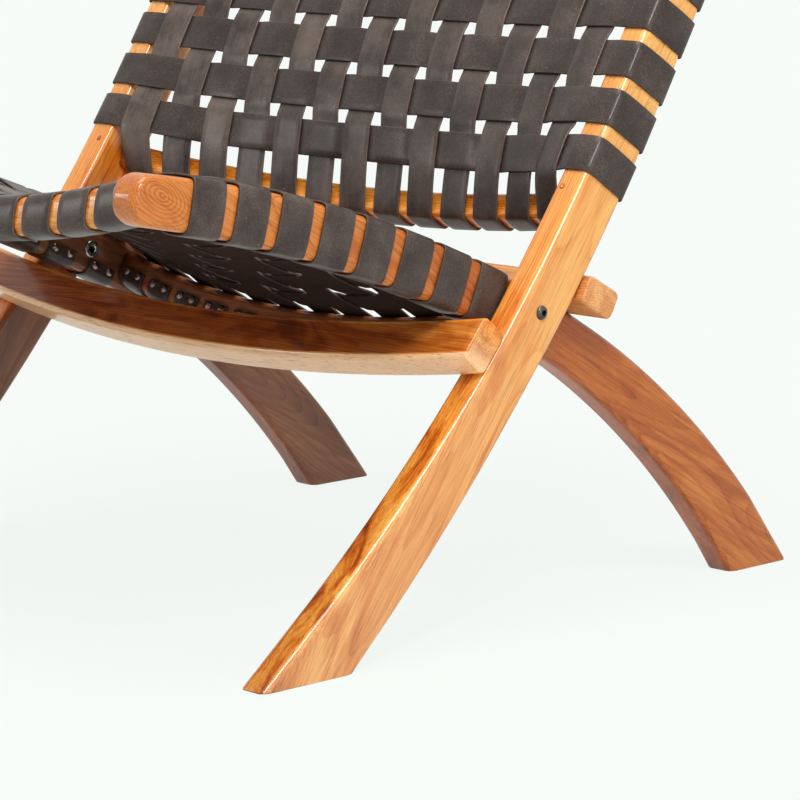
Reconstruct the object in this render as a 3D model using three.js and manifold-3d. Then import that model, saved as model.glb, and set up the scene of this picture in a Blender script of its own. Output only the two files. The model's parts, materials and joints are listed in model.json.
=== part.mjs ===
// A folding lounge chair: two crossed teak frames that turn on one pair of bolts, each filled with a
// plain weave of leather straps. Millimetres, +Z up, the sitter faces -Y, the floor is Z = 0.
import * as THREE from "three";
import { mergeVertices } from "three/addons/utils/BufferGeometryUtils.js";
import Module from "manifold-3d";

const wasm = await Module();
wasm.setup();

// Driving dimensions, in millimetres and degrees.
const chairWidth = 600; // across the outer faces of the back posts
const pivotHeight = 246.5; // bolt axis above the floor

const postThickness = 27;
const postDepth = 47; // at the bolt and above it
const postFootDepth = 58;
const postRise = 570; // from the bolt to the top, along the post
const postLean = 31.3; // of the straight upper part, from upright
const postStraightFrom = 189; // from the bolt up to the start of the straight part
const postSweepRadius = 1580; // of the curved part below

const seatRailThickness = 27;
const seatRailDepth = 43; // along the seat
const seatRailTipDepth = 37; // at the front end
const taperFrom = 170; // from the bolt forward to where a seat rail starts to narrow
const seatRailFootDepth = 60;
const seatReach = 389; // from the bolt to the front end, along the rail
const seatSlope = 25; // of the rail at the bolt, down to the rear
const seatRadius = 1355; // of the arch in front of the bolt
const legRadius = 770; // of the arch behind it
const sideGap = 3; // between a post and the seat rail inside it
const flareFrom = 75; // from the bolt to where a leg starts to widen

const woodEdge = 6; // rounding of the long edges of posts and seat rails
const tipRounding = 18; // corner radius of a post's top and of a seat rail's front end, seen from the side

const backRailDepth = 22; // of the two bowed back rails, square to the weave
const backRailWidth = 23; // of the same rails, along the weave
const backRailEdge = 5; // their rounding
const seatEndRailDepth = 28.5; // of the two bowed seat rails, square to the weave
const seatEndRailWidth = 27; // of the same rails, along the weave
const seatEndRailEdge = 8; // their rounding
const tenonSize = 15;
const tenonLength = 15;
const backBow = 35; // how far the two back rails are dished
const backRailInset = 24; // the ends of the back rails lie this far behind the front of the posts
const dishFade = 79; // how far from its rails the back's dish has mostly gone
const dishPull = 12; // how far the dish pulls the nearest cross straps away from the rails
const seatBow = 30; // how far the front and rear seat rails are dished
const seatSideLift = 9; // how far the side rails pull up the weave's edges between front and rear
const seatRailInset = 6; // the front and rear rails lie this far below the top of the seat rails
const lowerRailRise = 99.5; // from the bolt to the lower back rail, along the post
const topRailSetback = 35; // from the top of a post to the top rail's centre
const frontRailSetback = 35; // from the front end of a seat rail to the front rail's centre
const rearRailReach = 50; // from the bolt to the rear seat rail, along the seat rail

const stretcherWidth = 36; // along the leg
const stretcherDepth = 27; // square to the leg
const stretcherDrop = 53.5; // below the bolt, along the leg
const stretcherBow = 28;
const stretcherEdge = 5;

const stopBarWidth = 38; // along the seat rail
const stopBarHeight = 23;
const stopBarEdge = 5;
const stopBarProud = 4; // past each post's outer face

const strapWidth = 30.5;
const strapThickness = 2;
const strapTail = 7; // flat end of a strap past its last bend
const backLengthStraps = 13;
const seatLengthStraps = 12;
const backCrossStraps = 10;
const seatCrossStraps = 9;
const backSideMargin = 8; // from a post to the nearest upright strap
const seatSideMargin = 8.5; // from a seat rail to the nearest long strap
const backRailMargin = 3.2; // from a back rail to the nearest cross strap
const seatRailMargin = 2.5; // from the front rail to the nearest cross strap
const boltFrontMargin = 15.5; // from the bolt to the cross strap in front of it
const boltRearMargin = 2; // from the bolt to the cross strap behind it

const boltRadius = 3;
const boltHeadRadius = 5.5;
const boltHeadHeight = 3;
const nutRadius = 4.2; // of the sleeve that the seat rail turns on
const nutFlangeRadius = 7.5;
const nutFlangeHeight = 1.8;

const clearance = 0.35; // between pieces that touch
const chordError = 0.25; // of the straight facets along a curve
const roundSides = 12;

// Places that follow from the dimensions above.
const degrees = THREE.MathUtils.degToRad;
const sideways = new THREE.Vector3(1, 0, 0);
const postOuter = chairWidth / 2;
const postInner = postOuter - postThickness;
const seatOuter = postInner - sideGap;
const seatInner = seatOuter - seatRailThickness;
const strapLift = clearance + strapThickness / 2; // from a surface to the middle of a strap on it
const weaveStep = (strapThickness + clearance) / 2; // from the weave's middle to a strap over or under it
const halfFlat = strapWidth / 2 + 2 * clearance; // half the flat stretch of a strap at a crossing

// A curve in the side view, followed by its arc length s: one bend before the knee, another after it.
class SideLine {
  constructor(y, z, heading, knee, bendBefore, bendAfter) {
    Object.assign(this, { y, z, heading, knee, bendBefore, bendAfter });
  }
  bend(s) {
    return s < this.knee ? this.bendBefore : this.bendAfter;
  }
  angle(s) {
    return this.heading + (s - this.knee) * this.bend(s);
  }
  // The point at s, then n to the left of the heading and x to the side.
  at(s, n = 0, x = 0) {
    const a = this.angle(s);
    const bend = this.bend(s);
    const run = s - this.knee;
    const dy = bend ? (Math.sin(a) - Math.sin(this.heading)) / bend : run * Math.cos(a);
    const dz = bend ? (Math.cos(this.heading) - Math.cos(a)) / bend : run * Math.sin(a);
    return new THREE.Vector3(x, this.y + dy - n * Math.sin(a), this.z + dz + n * Math.cos(a));
  }
  along(s) {
    return new THREE.Vector3(0, Math.cos(this.angle(s)), Math.sin(this.angle(s)));
  }
  across(s) {
    return new THREE.Vector3(0, -Math.sin(this.angle(s)), Math.cos(this.angle(s)));
  }
  // The arc length at which the curve meets the floor on the given bend.
  floor(bend) {
    const a = Math.sign(this.heading) * Math.acos(Math.cos(this.heading) + this.z * bend);
    return this.knee + (a - this.heading) / bend;
  }
  // Arc lengths from one place to another, close enough for straight facets.
  stops(from, to) {
    const bend = Math.abs(this.bend((from + to) / 2));
    const facet = Math.sqrt((8 * chordError) / Math.max(bend, 1e-9));
    const steps = Math.max(1, Math.ceil(Math.abs(to - from) / facet));
    return Array.from({ length: steps + 1 }, (_, i) => from + ((to - from) * i) / steps);
  }
}

// A shallow arc from side to side: level 0 at its ends, lowest in the middle.
class Bow {
  constructor(halfSpan, sag) {
    this.radius = (halfSpan ** 2 + sag ** 2) / (2 * sag);
    this.centre = this.radius - sag;
  }
  // Level at x of the arc that runs the given height above this one.
  level(x, above = 0) {
    return this.centre - Math.sqrt((this.radius - above) ** 2 - x ** 2);
  }
  slope(x) {
    return x / Math.sqrt(this.radius ** 2 - x ** 2);
  }
  // Places from one end to the other, close enough for straight facets.
  stops(end) {
    const steps = Math.ceil((2 * end) / Math.sqrt(8 * chordError * this.radius)) + 1;
    return Array.from({ length: steps + 1 }, (_, i) => -end + (2 * end * i) / steps);
  }
}

// A closed geometry through rings of equally many points, with flat ends, its faces turned outwards.
function loft(rings) {
  const count = rings[0].length;
  const corners = rings.flat();
  const faces = [];
  for (let i = 0; i + 1 < rings.length; i++) {
    for (let j = 0; j < count; j++) {
      const a = i * count + j;
      const b = i * count + ((j + 1) % count);
      faces.push(a, b, b + count, a, b + count, a + count);
    }
  }
  const last = (rings.length - 1) * count;
  for (let j = 1; j + 1 < count; j++) faces.push(0, j + 1, j, last, last + j, last + j + 1);
  let volume = 0;
  for (let i = 0; i < faces.length; i += 3) {
    const [a, b, c] = faces.slice(i, i + 3).map((f) => corners[f]);
    volume += a.dot(b.clone().cross(c));
  }
  if (volume < 0) faces.reverse();
  const geometry = new THREE.BufferGeometry();
  geometry.setAttribute("position", new THREE.Float32BufferAttribute(corners.flatMap((p) => p.toArray()), 3));
  geometry.setIndex(faces);
  return geometry;
}

// A rectangle as a list of [u, v], each corner a flat that touches the rounding it stands for.
const flatOf = (radius) => radius * (1 - Math.tan(Math.PI / 8));

function roundedSection(halfU, halfV, radius) {
  const flat = flatOf(radius);
  const inU = halfU - flat;
  const inV = halfV - flat;
  return [
    [halfU, inV], [inU, halfV], [-inU, halfV], [-halfU, inV],
    [-halfU, -inV], [-inU, -halfV], [inU, -halfV], [halfU, -inV],
  ];
}

function solidOf(geometry) {
  const bare = geometry.clone();
  bare.deleteAttribute("normal");
  bare.deleteAttribute("uv");
  const merged = mergeVertices(bare, 1e-4);
  const mesh = new wasm.Mesh({
    numProp: 3,
    vertProperties: new Float32Array(merged.attributes.position.array),
    triVerts: new Uint32Array(merged.index.array),
  });
  return new wasm.Manifold(mesh);
}

function cut(geometry, tools) {
  const mesh = tools.reduce((left, tool) => left.subtract(solidOf(tool)), solidOf(geometry)).getMesh();
  const result = new THREE.BufferGeometry();
  result.setAttribute("position", new THREE.BufferAttribute(new Float32Array(mesh.vertProperties), 3));
  result.setIndex(new THREE.BufferAttribute(new Uint32Array(mesh.triVerts), 1));
  return result;
}

// The seat rail's curve runs through the bolt.
const rail = new SideLine(0, pivotHeight, degrees(-seatSlope), 0, -1 / seatRadius, -1 / legRadius);
const railFoot = rail.floor(rail.bendAfter);

// Depth of a plank that widens evenly from the flare to its foot.
function flared(depth, footDepth, s, foot) {
  const share = (s * Math.sign(foot) - flareFrom) / (Math.abs(foot) - flareFrom);
  return depth + (footDepth - depth) * Math.max(share, 0);
}
function railDepthAt(s) {
  const share = Math.max((-s - taperFrom) / (seatReach - taperFrom), 0);
  return flared(seatRailDepth, seatRailFootDepth, s, railFoot) - (seatRailDepth - seatRailTipDepth) * share;
}

// Seat cross straps: evenly spaced from the front rail to the bolt, and one behind it.
const frontRailAt = frontRailSetback - seatReach;
function seatCrossAt(j) {
  const first = frontRailAt + seatEndRailWidth / 2 + seatRailMargin + strapWidth / 2;
  const last = -boltFrontMargin - strapWidth / 2;
  const behind = boltRearMargin + strapWidth / 2;
  return j < seatCrossStraps - 1 ? first + ((last - first) * j) / (seatCrossStraps - 2) : behind;
}

// The stop bar lies on the seat rails, right behind the last cross strap.
const stopBarAt = boltRearMargin + strapWidth + clearance + stopBarWidth / 2;
const stopBarLift = railDepthAt(stopBarAt) / 2 + clearance + stopBarHeight / 2;

// The post's curve runs a little behind the bolt: as far as it takes for the post's rear face to meet
// the rounded front edge of the stop bar.
function makePostLine() {
  const heading = degrees(90 - postLean);
  const turned = new SideLine(0, 0, heading, postStraightFrom, 1 / postSweepRadius, 0);
  const bolt = new THREE.Vector3(0, 0, pivotHeight);
  const edge = rail
    .at(stopBarAt, stopBarLift + stopBarHeight / 2 - stopBarEdge)
    .addScaledVector(rail.along(stopBarAt), stopBarEdge - stopBarWidth / 2)
    .sub(bolt);
  const reach = postSweepRadius + postDepth / 2 + clearance + stopBarEdge;
  const square = turned.across(0).dot(edge);
  const boltToCentre = square + Math.sqrt(square ** 2 - edge.lengthSq() + reach ** 2);
  const knee = bolt
    .addScaledVector(turned.across(0), boltToCentre)
    .addScaledVector(turned.across(postStraightFrom), -postSweepRadius);
  return new SideLine(knee.y, knee.z, heading, postStraightFrom, turned.bendBefore, 0);
}
const post = makePostLine();
const postFoot = post.floor(post.bendBefore);
const postDepthAt = (s) => flared(postDepth, postFootDepth, s, postFoot);

// What is left of half a breadth at a distance from a tip whose corner has the given radius.
function nearTip(half, distance, radius) {
  const short = Math.max(radius - distance, 0);
  return half - radius + Math.sqrt(radius ** 2 - short ** 2);
}

// A plank along a side curve from a rounded tip, past the places in between, to a foot cut at the floor.
function plank(line, depthAt, thickness, middleX, tip, places) {
  const inward = Math.sign(places[0] - tip);
  const rings = [];
  const ring = (s, distance) => {
    const halfDepth = nearTip(depthAt(s) / 2, distance, tipRounding);
    const halfWidth = nearTip(thickness / 2, distance, woodEdge);
    const outline = roundedSection(halfWidth, halfDepth, Math.min(woodEdge, halfDepth, halfWidth));
    rings.push(outline.map(([x, n]) => line.at(s, n, middleX + x)));
  };
  for (const turn of [0, 30, 60]) {
    const distance = tipRounding * (1 - Math.cos(degrees(turn)));
    ring(tip + inward * distance, distance);
  }
  for (const s of places) ring(s, tipRounding);
  const below = new THREE.BoxGeometry(chairWidth, 4 * chairWidth, chairWidth);
  return cut(loft(rings), [below.translate(0, 0, -chairWidth / 2)]);
}

// A hole along X through a plank at the bolt.
function boreTool(radius, middleX, length) {
  const hole = new THREE.CylinderGeometry(radius, radius, length, roundSides);
  return hole.rotateZ(Math.PI / 2).translate(middleX, 0, pivotHeight);
}

const edgeFlat = flatOf(woodEdge);
// By how much a flat corner tops the rounding it stands for.
const edgeSpare = (radius) => radius * (1 / Math.cos(Math.PI / 8) - 1);

// The two woven panels. Each has a side curve, two side planks, two bowed end rails and a function that gives
// the middle surface of its weave.
const panelOf = {
  back: {
    line: post,
    inner: postInner,
    outer: postOuter,
    depthAt: () => postDepth,
    bow: new Bow(postInner, backBow),
    railTop: postDepth / 2 - backRailInset,
    weave: backWeave,
    ends: [lowerRailRise, postRise - topRailSetback],
    endDepth: backRailDepth,
    endWidth: backRailWidth,
    endEdge: backRailEdge,
    margin: backSideMargin,
    lengthCount: backLengthStraps,
    crossCount: backCrossStraps,
    crossAt: (j) => {
      const inset = backRailWidth / 2 + backRailMargin + strapWidth / 2;
      const first = lowerRailRise + inset;
      const last = postRise - topRailSetback - inset;
      return first + ((last - first) * j) / (backCrossStraps - 1);
    },
    turns: 2, // the straps end on the rear faces
  },
  seat: {
    line: rail,
    inner: seatInner,
    outer: seatOuter,
    depthAt: (s) => railDepthAt(s + strapWidth / 2),
    bow: new Bow(seatInner, seatBow),
    railTop: seatRailDepth / 2 - seatRailInset,
    weave: seatWeave,
    ends: [frontRailAt, rearRailReach],
    endDepth: seatEndRailDepth,
    endWidth: seatEndRailWidth,
    endEdge: seatEndRailEdge,
    margin: seatSideMargin,
    lengthCount: seatLengthStraps,
    crossCount: seatCrossStraps,
    crossAt: seatCrossAt,
    turns: 3, // the straps end on the inner faces
  },
};

function lengthAt(panel, k) {
  const last = panel.inner - panel.margin - strapWidth / 2;
  return last * ((2 * k) / (panel.lengthCount - 1) - 1);
}

// The back's middle surface: dished at its end rails, nearly flat between the posts halfway up.
function backWeave(panel, x, s) {
  const [from, to] = panel.ends;
  const low = Math.exp((from - backRailWidth / 2 - s) / dishFade);
  const high = Math.exp((s - to - backRailWidth / 2) / dishFade);
  const aside = x / panel.inner;
  const dish = (backRailInset - panel.bow.level(x)) * (1 - aside ** 6);
  const pull = dishPull * (low - high) * (1 - aside ** 2);
  return panel.line.at(s + pull, postDepth / 2 + strapLift - dish * (low + high), x);
}

// The seat's middle surface: as dished as its end rails, but drawn up along the side rails. A strap that
// goes under its neighbour runs just over the end rails.
function seatWeave(panel, x, s) {
  const [from, to] = panel.ends;
  const fromMiddle = (2 * s - from - to) / (to - from);
  const lift = seatSideLift * (1 - fromMiddle ** 4) * (x / panel.inner) ** 2;
  const under = panel.railTop + strapLift + clearance + panel.bow.level(x);
  return panel.line.at(s, under + weaveStep + lift, x);
}

// Place and directions of the weave at one crossing.
function weaveFrame(panel, x, s) {
  const step = 0.5;
  const side = panel.weave(panel, x + step, s).sub(panel.weave(panel, x - step, s)).normalize();
  const along = panel.weave(panel, x, s + step).sub(panel.weave(panel, x, s - step)).normalize();
  return { middle: panel.weave(panel, x, s), side, along, normal: side.clone().cross(along).normalize() };
}

// One cross-section of a strap. At a bend the thickness is lengthened so that both runs keep theirs.
function strapRing(middle, width, normal, bend = 0) {
  const w = width.clone().multiplyScalar(strapWidth / 2);
  const t = normal.clone().multiplyScalar(strapThickness / 2 / Math.cos(bend / 2));
  const ring = [w.clone().add(t), t.clone().sub(w), w.clone().add(t).negate(), w.clone().sub(t)];
  return ring.map((corner) => corner.add(middle));
}

// The flat stretch of a strap at a crossing, over (1) or under (-1) the strap it crosses.
function flatRings(frame, run, width, over) {
  const middle = frame.middle.clone().addScaledVector(frame.normal, over * weaveStep);
  const ends = [-halfFlat, halfFlat].map((d) => middle.clone().addScaledVector(run, d));
  return ends.map((end) => strapRing(end, width, frame.normal));
}

// A strap's bends round a plank or a rail, in a plane with directions u (outwards) and v (up). Each turn is
// two bends that stay clear of the rounding, and a flat tail comes last. The first turn starts with the
// strap facing the given way.
function wrapRings(plane, centres, radius, facingFirst = Math.PI / 2, radiusFirst = radius) {
  const rings = [];
  const place = (u, v) => plane.origin.clone().addScaledVector(plane.u, u).addScaledVector(plane.v, v);
  const facing = (a) => place(Math.cos(a), Math.sin(a)).sub(plane.origin);
  centres.forEach(([u, v], i) => {
    const turn = i ? Math.PI / 2 : facingFirst;
    const reach = (i ? radius : radiusFirst) / Math.cos(turn / 4);
    for (const left of [0.75, 0.25]) {
      const a = (-i * Math.PI) / 2 + left * turn;
      const middle = place(u + reach * Math.cos(a), v + reach * Math.sin(a));
      rings.push(strapRing(middle, plane.width, facing(a), turn / 2));
    }
  });
  const [u, v] = centres[centres.length - 1];
  const a = ((1 - centres.length) * Math.PI) / 2;
  const [c, s] = [Math.cos(a), Math.sin(a)];
  const tail = place(u + radius * c + strapTail * s, v + radius * s - strapTail * c);
  rings.push(strapRing(tail, plane.width, facing(a)));
  return rings;
}

// The bend of a strap over an edge of a plank, from one climb to the next.
function edgeRing(plane, [u, v], from, to) {
  const a = (Math.PI + from + to) / 2;
  const normal = plane.u.clone().multiplyScalar(Math.cos(a)).addScaledVector(plane.v, Math.sin(a));
  const middle = plane.origin
    .clone()
    .addScaledVector(plane.u, u)
    .addScaledVector(plane.v, v)
    .addScaledVector(normal, strapLift / Math.cos((from - to) / 2));
  return strapRing(middle, plane.width, normal, from - to);
}

// A cross strap's end: from its last flat up over the plank's inner edges, then round the plank. The
// lower of the two inner edges counts only for a strap that climbs more steeply than the flat between them.
function sideEndRings(panel, j, hand, lastFlat) {
  const s = panel.crossAt(j);
  const plane = {
    origin: panel.line.at(s),
    u: sideways.clone().multiplyScalar(hand),
    v: panel.line.across(s),
    width: panel.line.along(s),
  };
  const start = lastFlat.clone().sub(plane.origin);
  const climbTo = ([u, v]) => {
    const du = u - start.dot(plane.u);
    const dv = v - start.dot(plane.v);
    return Math.atan2(dv, du) + Math.asin(strapLift / Math.hypot(du, dv));
  };
  const halfDepth = panel.depthAt(s) / 2;
  const upper = [panel.inner + edgeFlat, halfDepth];
  const lower = [panel.inner, halfDepth - edgeFlat];
  const steep = climbTo(lower) > Math.PI / 4;
  const entry = steep
    ? [edgeRing(plane, lower, climbTo(lower), Math.PI / 4), edgeRing(plane, upper, Math.PI / 4, 0)]
    : [edgeRing(plane, upper, climbTo(upper), 0)];
  const [innerU, outerU, edgeV] = [panel.inner + woodEdge, panel.outer - woodEdge, halfDepth - woodEdge];
  const centres = [[outerU, edgeV], [outerU, -edgeV], [innerU, -edgeV]].slice(0, panel.turns);
  return [...entry, ...wrapRings(plane, centres, woodEdge + strapLift)];
}

function crossStrap(panel, j) {
  const rings = [];
  const middles = [];
  for (let k = 0; k < panel.lengthCount; k++) {
    const frame = weaveFrame(panel, lengthAt(panel, k), panel.crossAt(j));
    const over = (k + j) % 2 ? 1 : -1;
    rings.push(...flatRings(frame, frame.side, frame.along, over));
    const middle = frame.middle.clone().addScaledVector(frame.normal, over * weaveStep);
    middles.push([-1, 1].map((end) => middle.clone().addScaledVector(frame.side, end * halfFlat)));
  }
  const left = sideEndRings(panel, j, -1, middles[0][0]);
  const right = sideEndRings(panel, j, 1, middles[panel.lengthCount - 1][1]);
  return loft([...left.reverse(), ...rings, ...right]);
}

// A length strap's end: from its last flat straight to the end rail's first rounding, then round the rail.
function railEndRings(panel, k, hand, lastFlat) {
  const s = panel.ends[hand < 0 ? 0 : 1];
  const x = lengthAt(panel, k);
  const plane = {
    origin: panel.line.at(s, panel.railTop + panel.bow.level(x), x),
    u: panel.line.along(s).multiplyScalar(hand),
    v: panel.line.across(s),
    width: panel.line.across(s).multiplyScalar(panel.bow.slope(x)).add(sideways).normalize(),
  };
  const half = panel.endWidth / 2 - panel.endEdge;
  const near = -panel.endEdge;
  const far = panel.bow.level(x, -panel.endDepth) - panel.bow.level(x) + panel.endEdge;
  const centres = [[half, near], [half, far], [-half, far]].slice(0, panel.turns);
  const radius = panel.endEdge + strapLift;
  const radiusFirst = radius + edgeSpare(panel.endEdge);
  const start = lastFlat.clone().sub(plane.origin);
  const [du, dv] = [start.dot(plane.u) - half, start.dot(plane.v) - near];
  const leaving = Math.atan2(dv, du) - Math.acos(radiusFirst / Math.hypot(du, dv));
  return wrapRings(plane, centres, radius, leaving, radiusFirst);
}

function lengthStrap(panel, k) {
  const rings = [];
  const middles = [];
  for (let j = 0; j < panel.crossCount; j++) {
    const frame = weaveFrame(panel, lengthAt(panel, k), panel.crossAt(j));
    const over = (k + j) % 2 ? -1 : 1;
    rings.push(...flatRings(frame, frame.along, frame.side, over));
    const middle = frame.middle.clone().addScaledVector(frame.normal, over * weaveStep);
    middles.push([-1, 1].map((end) => middle.clone().addScaledVector(frame.along, end * halfFlat)));
  }
  const first = railEndRings(panel, k, -1, middles[0][0]);
  const last = railEndRings(panel, k, 1, middles[panel.crossCount - 1][1]);
  return loft([...first.reverse(), ...rings, ...last]);
}

// A cross-section of a bowed end rail: it stands at x and has the bow's level at atX.
function endRailRing(panel, s, x, atX, halfWidth, halfDepth, edge) {
  const along = panel.line.along(s);
  return roundedSection(halfWidth, halfDepth, edge).map(([p, q]) => {
    const level = panel.railTop + panel.bow.level(atX, q - panel.endDepth / 2);
    return panel.line.at(s, level, x).addScaledVector(along, p);
  });
}

// A straight tenon, or the mortise for it, keeps the level of the rail's end.
function tenonRings(panel, s, hand, from, to, size) {
  const at = hand * (panel.inner - clearance);
  return [from, to].map((x) => endRailRing(panel, s, hand * x, at, size / 2, size / 2, 2));
}

function endRail(panel, s) {
  const end = panel.inner - clearance;
  const tip = panel.inner + tenonLength;
  const body = panel.bow.stops(end).map((x) =>
    endRailRing(panel, s, x, x, panel.endWidth / 2, panel.endDepth / 2, panel.endEdge),
  );
  const left = tenonRings(panel, s, -1, tip, end, tenonSize);
  return loft([...left, ...body, ...tenonRings(panel, s, 1, end, tip, tenonSize)]);
}

function mortiseTools(panel, hand) {
  const inside = panel.inner - 2 * clearance;
  const bottom = panel.inner + tenonLength + clearance;
  return panel.ends.map((s) => loft(tenonRings(panel, s, hand, inside, bottom, tenonSize + 2 * clearance)));
}

function backPost(hand) {
  const middleX = hand * (postInner + postThickness / 2);
  const places = [postRise - tipRounding, ...post.stops(postStraightFrom, postFoot - postFootDepth)];
  const blank = plank(post, postDepthAt, postThickness, middleX, postRise, places);
  const bore = boreTool(boltRadius + clearance, middleX, 2 * postThickness);
  return cut(blank, [bore, ...mortiseTools(panelOf.back, hand)]);
}

function seatRail(hand) {
  const middleX = hand * (seatInner + seatRailThickness / 2);
  const seatPlaces = rail.stops(tipRounding - seatReach, 0);
  const legPlaces = rail.stops(0, railFoot + seatRailFootDepth).slice(1);
  const places = [...seatPlaces, ...legPlaces];
  const blank = plank(rail, railDepthAt, seatRailThickness, middleX, -seatReach, places);
  const bore = boreTool(nutRadius + clearance, middleX, 2 * seatRailThickness);
  return cut(blank, [bore, ...mortiseTools(panelOf.seat, hand)]);
}

// The stretcher is lapped on the front of the legs and bows down along them.
function frontStretcher() {
  const bow = new Bow(postOuter, stretcherBow);
  const along = post.along(-stretcherDrop);
  const hollow = (0.65 * stretcherWidth) ** 2 / (2 * postSweepRadius) + chordError; // of the leg under it
  const front = postDepthAt(-stretcherDrop) / 2 + hollow + clearance + stretcherDepth / 2;
  const ring = (x, inset) => {
    const outline = roundedSection(stretcherWidth / 2 - inset, stretcherDepth / 2 - inset, stretcherEdge);
    const place = (q) => post.at(-stretcherDrop, front + q, x);
    return outline.map(([p, q]) => place(q).addScaledVector(along, bow.level(x, p)));
  };
  const chamfer = stretcherEdge / 3;
  const body = bow.stops(postOuter - chamfer).map((x) => ring(x, 0));
  return loft([ring(-postOuter, chamfer), ...body, ring(postOuter, chamfer)]);
}

function stopBar() {
  const along = rail.along(stopBarAt);
  const ring = (x, inset) => {
    const outline = roundedSection(stopBarWidth / 2 - inset, stopBarHeight / 2 - inset, stopBarEdge - inset);
    return outline.map(([p, q]) => rail.at(stopBarAt, stopBarLift + q, x).addScaledVector(along, p));
  };
  const chamfer = stopBarEdge / 3;
  const end = postOuter + stopBarProud;
  return loft([ring(-end, chamfer), ring(chamfer - end, 0), ring(end - chamfer, 0), ring(end, chamfer)]);
}

// Turned hardware on the bolt's axis: its profile is [radius, x] from the inner to the outer end.
function turned(profile, hand) {
  const points = profile.map(([r, x]) => new THREE.Vector2(r, x));
  const piece = new THREE.LatheGeometry(points, roundSides).rotateZ(-Math.PI / 2);
  return piece.rotateZ(hand < 0 ? Math.PI : 0).translate(0, 0, pivotHeight);
}

const boltTip = seatInner + seatRailThickness / 3;

function pivotBolt(hand) {
  const seat = postOuter + clearance;
  return turned([
    [0, boltTip], [boltRadius, boltTip], [boltRadius, seat], [boltHeadRadius, seat],
    [boltHeadRadius, seat + boltHeadHeight / 3], [boltHeadRadius / 2, seat + boltHeadHeight],
    [0, seat + boltHeadHeight],
  ], hand);
}

function pivotNut(hand) {
  const seat = seatInner - clearance;
  const hole = boltRadius + clearance;
  const bottom = boltTip - clearance;
  const mouth = seatOuter - clearance;
  return turned([
    [0, seat - nutFlangeHeight], [nutFlangeRadius - nutFlangeHeight / 2, seat - nutFlangeHeight],
    [nutFlangeRadius, seat - nutFlangeHeight / 2], [nutFlangeRadius, seat], [nutRadius, seat],
    [nutRadius, mouth], [hole, mouth], [hole, bottom], [0, bottom],
  ], hand);
}

// Looks: one material for each piece.
const teak = () => new THREE.MeshStandardMaterial({ color: 0xb8692f, roughness: 0.35 });
const leather = () => new THREE.MeshStandardMaterial({ color: 0x463c39, roughness: 0.6 });
const steel = () => new THREE.MeshStandardMaterial({ color: 0x8c8a86, roughness: 0.35, metalness: 1 });

function add(group, name, geometry, material) {
  const mesh = new THREE.Mesh(mergeVertices(geometry, 1e-4), material);
  mesh.name = name;
  group.add(mesh);
}

const numbered = (name, i) => name + "_" + String(i + 1).padStart(2, "0");
const hands = { left: -1, right: 1 };

function backFrame() {
  const group = new THREE.Group();
  for (const [side, hand] of Object.entries(hands)) {
    add(group, "back_post_" + side, backPost(hand), teak());
    add(group, "pivot_bolt_" + side, pivotBolt(hand), steel());
    add(group, "pivot_nut_" + side, pivotNut(hand), steel());
  }
  add(group, "back_lower_rail", endRail(panelOf.back, panelOf.back.ends[0]), teak());
  add(group, "back_top_rail", endRail(panelOf.back, panelOf.back.ends[1]), teak());
  add(group, "front_stretcher", frontStretcher(), teak());
  for (let k = 0; k < backLengthStraps; k++) {
    add(group, numbered("back_upright_strap", k), lengthStrap(panelOf.back, k), leather());
  }
  for (let j = 0; j < backCrossStraps; j++) {
    add(group, numbered("back_cross_strap", j), crossStrap(panelOf.back, j), leather());
  }
  return group;
}

function seatFrame() {
  const group = new THREE.Group();
  for (const [side, hand] of Object.entries(hands)) add(group, "seat_rail_" + side, seatRail(hand), teak());
  add(group, "seat_front_rail", endRail(panelOf.seat, panelOf.seat.ends[0]), teak());
  add(group, "seat_rear_rail", endRail(panelOf.seat, panelOf.seat.ends[1]), teak());
  add(group, "stop_bar", stopBar(), teak());
  for (let k = 0; k < seatLengthStraps; k++) {
    add(group, numbered("seat_long_strap", k), lengthStrap(panelOf.seat, k), leather());
  }
  const boltHole = boreTool(boltRadius + 3 * clearance, 0, 2 * chairWidth);
  for (let j = 0; j < seatCrossStraps; j++) {
    const strap = crossStrap(panelOf.seat, j);
    const nearBolt = j === seatCrossStraps - 1;
    add(group, numbered("seat_cross_strap", j), nearBolt ? cut(strap, [boltHole]) : strap, leather());
  }
  return group;
}

// The origin is on the floor under the middle of the chair.
const chair = new THREE.Group();
chair.add(backFrame(), seatFrame());
const box = new THREE.Box3().setFromObject(chair);
chair.children.forEach((frame) => {
  frame.position.y = -(box.min.y + box.max.y) / 2;
});

export default chair;
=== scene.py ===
# %% [markdown]
# # A folding lounge chair with woven leather straps
# The chair is two crossed teak frames that turn on a pair of bolts. Each frame carries a panel of leather
# straps, woven over and under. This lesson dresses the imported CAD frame: it makes every plank, rail, strap
# and bolt again with finer roundings, adds tacks and pegs, gives them wood, leather and steel, and lights
# them like a photograph in a studio. Lengths are in metres, +Z is up and the sitter faces -Y.

# %% Load the frame
import json
import math
import bpy
from mathutils import Matrix, Vector


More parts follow.
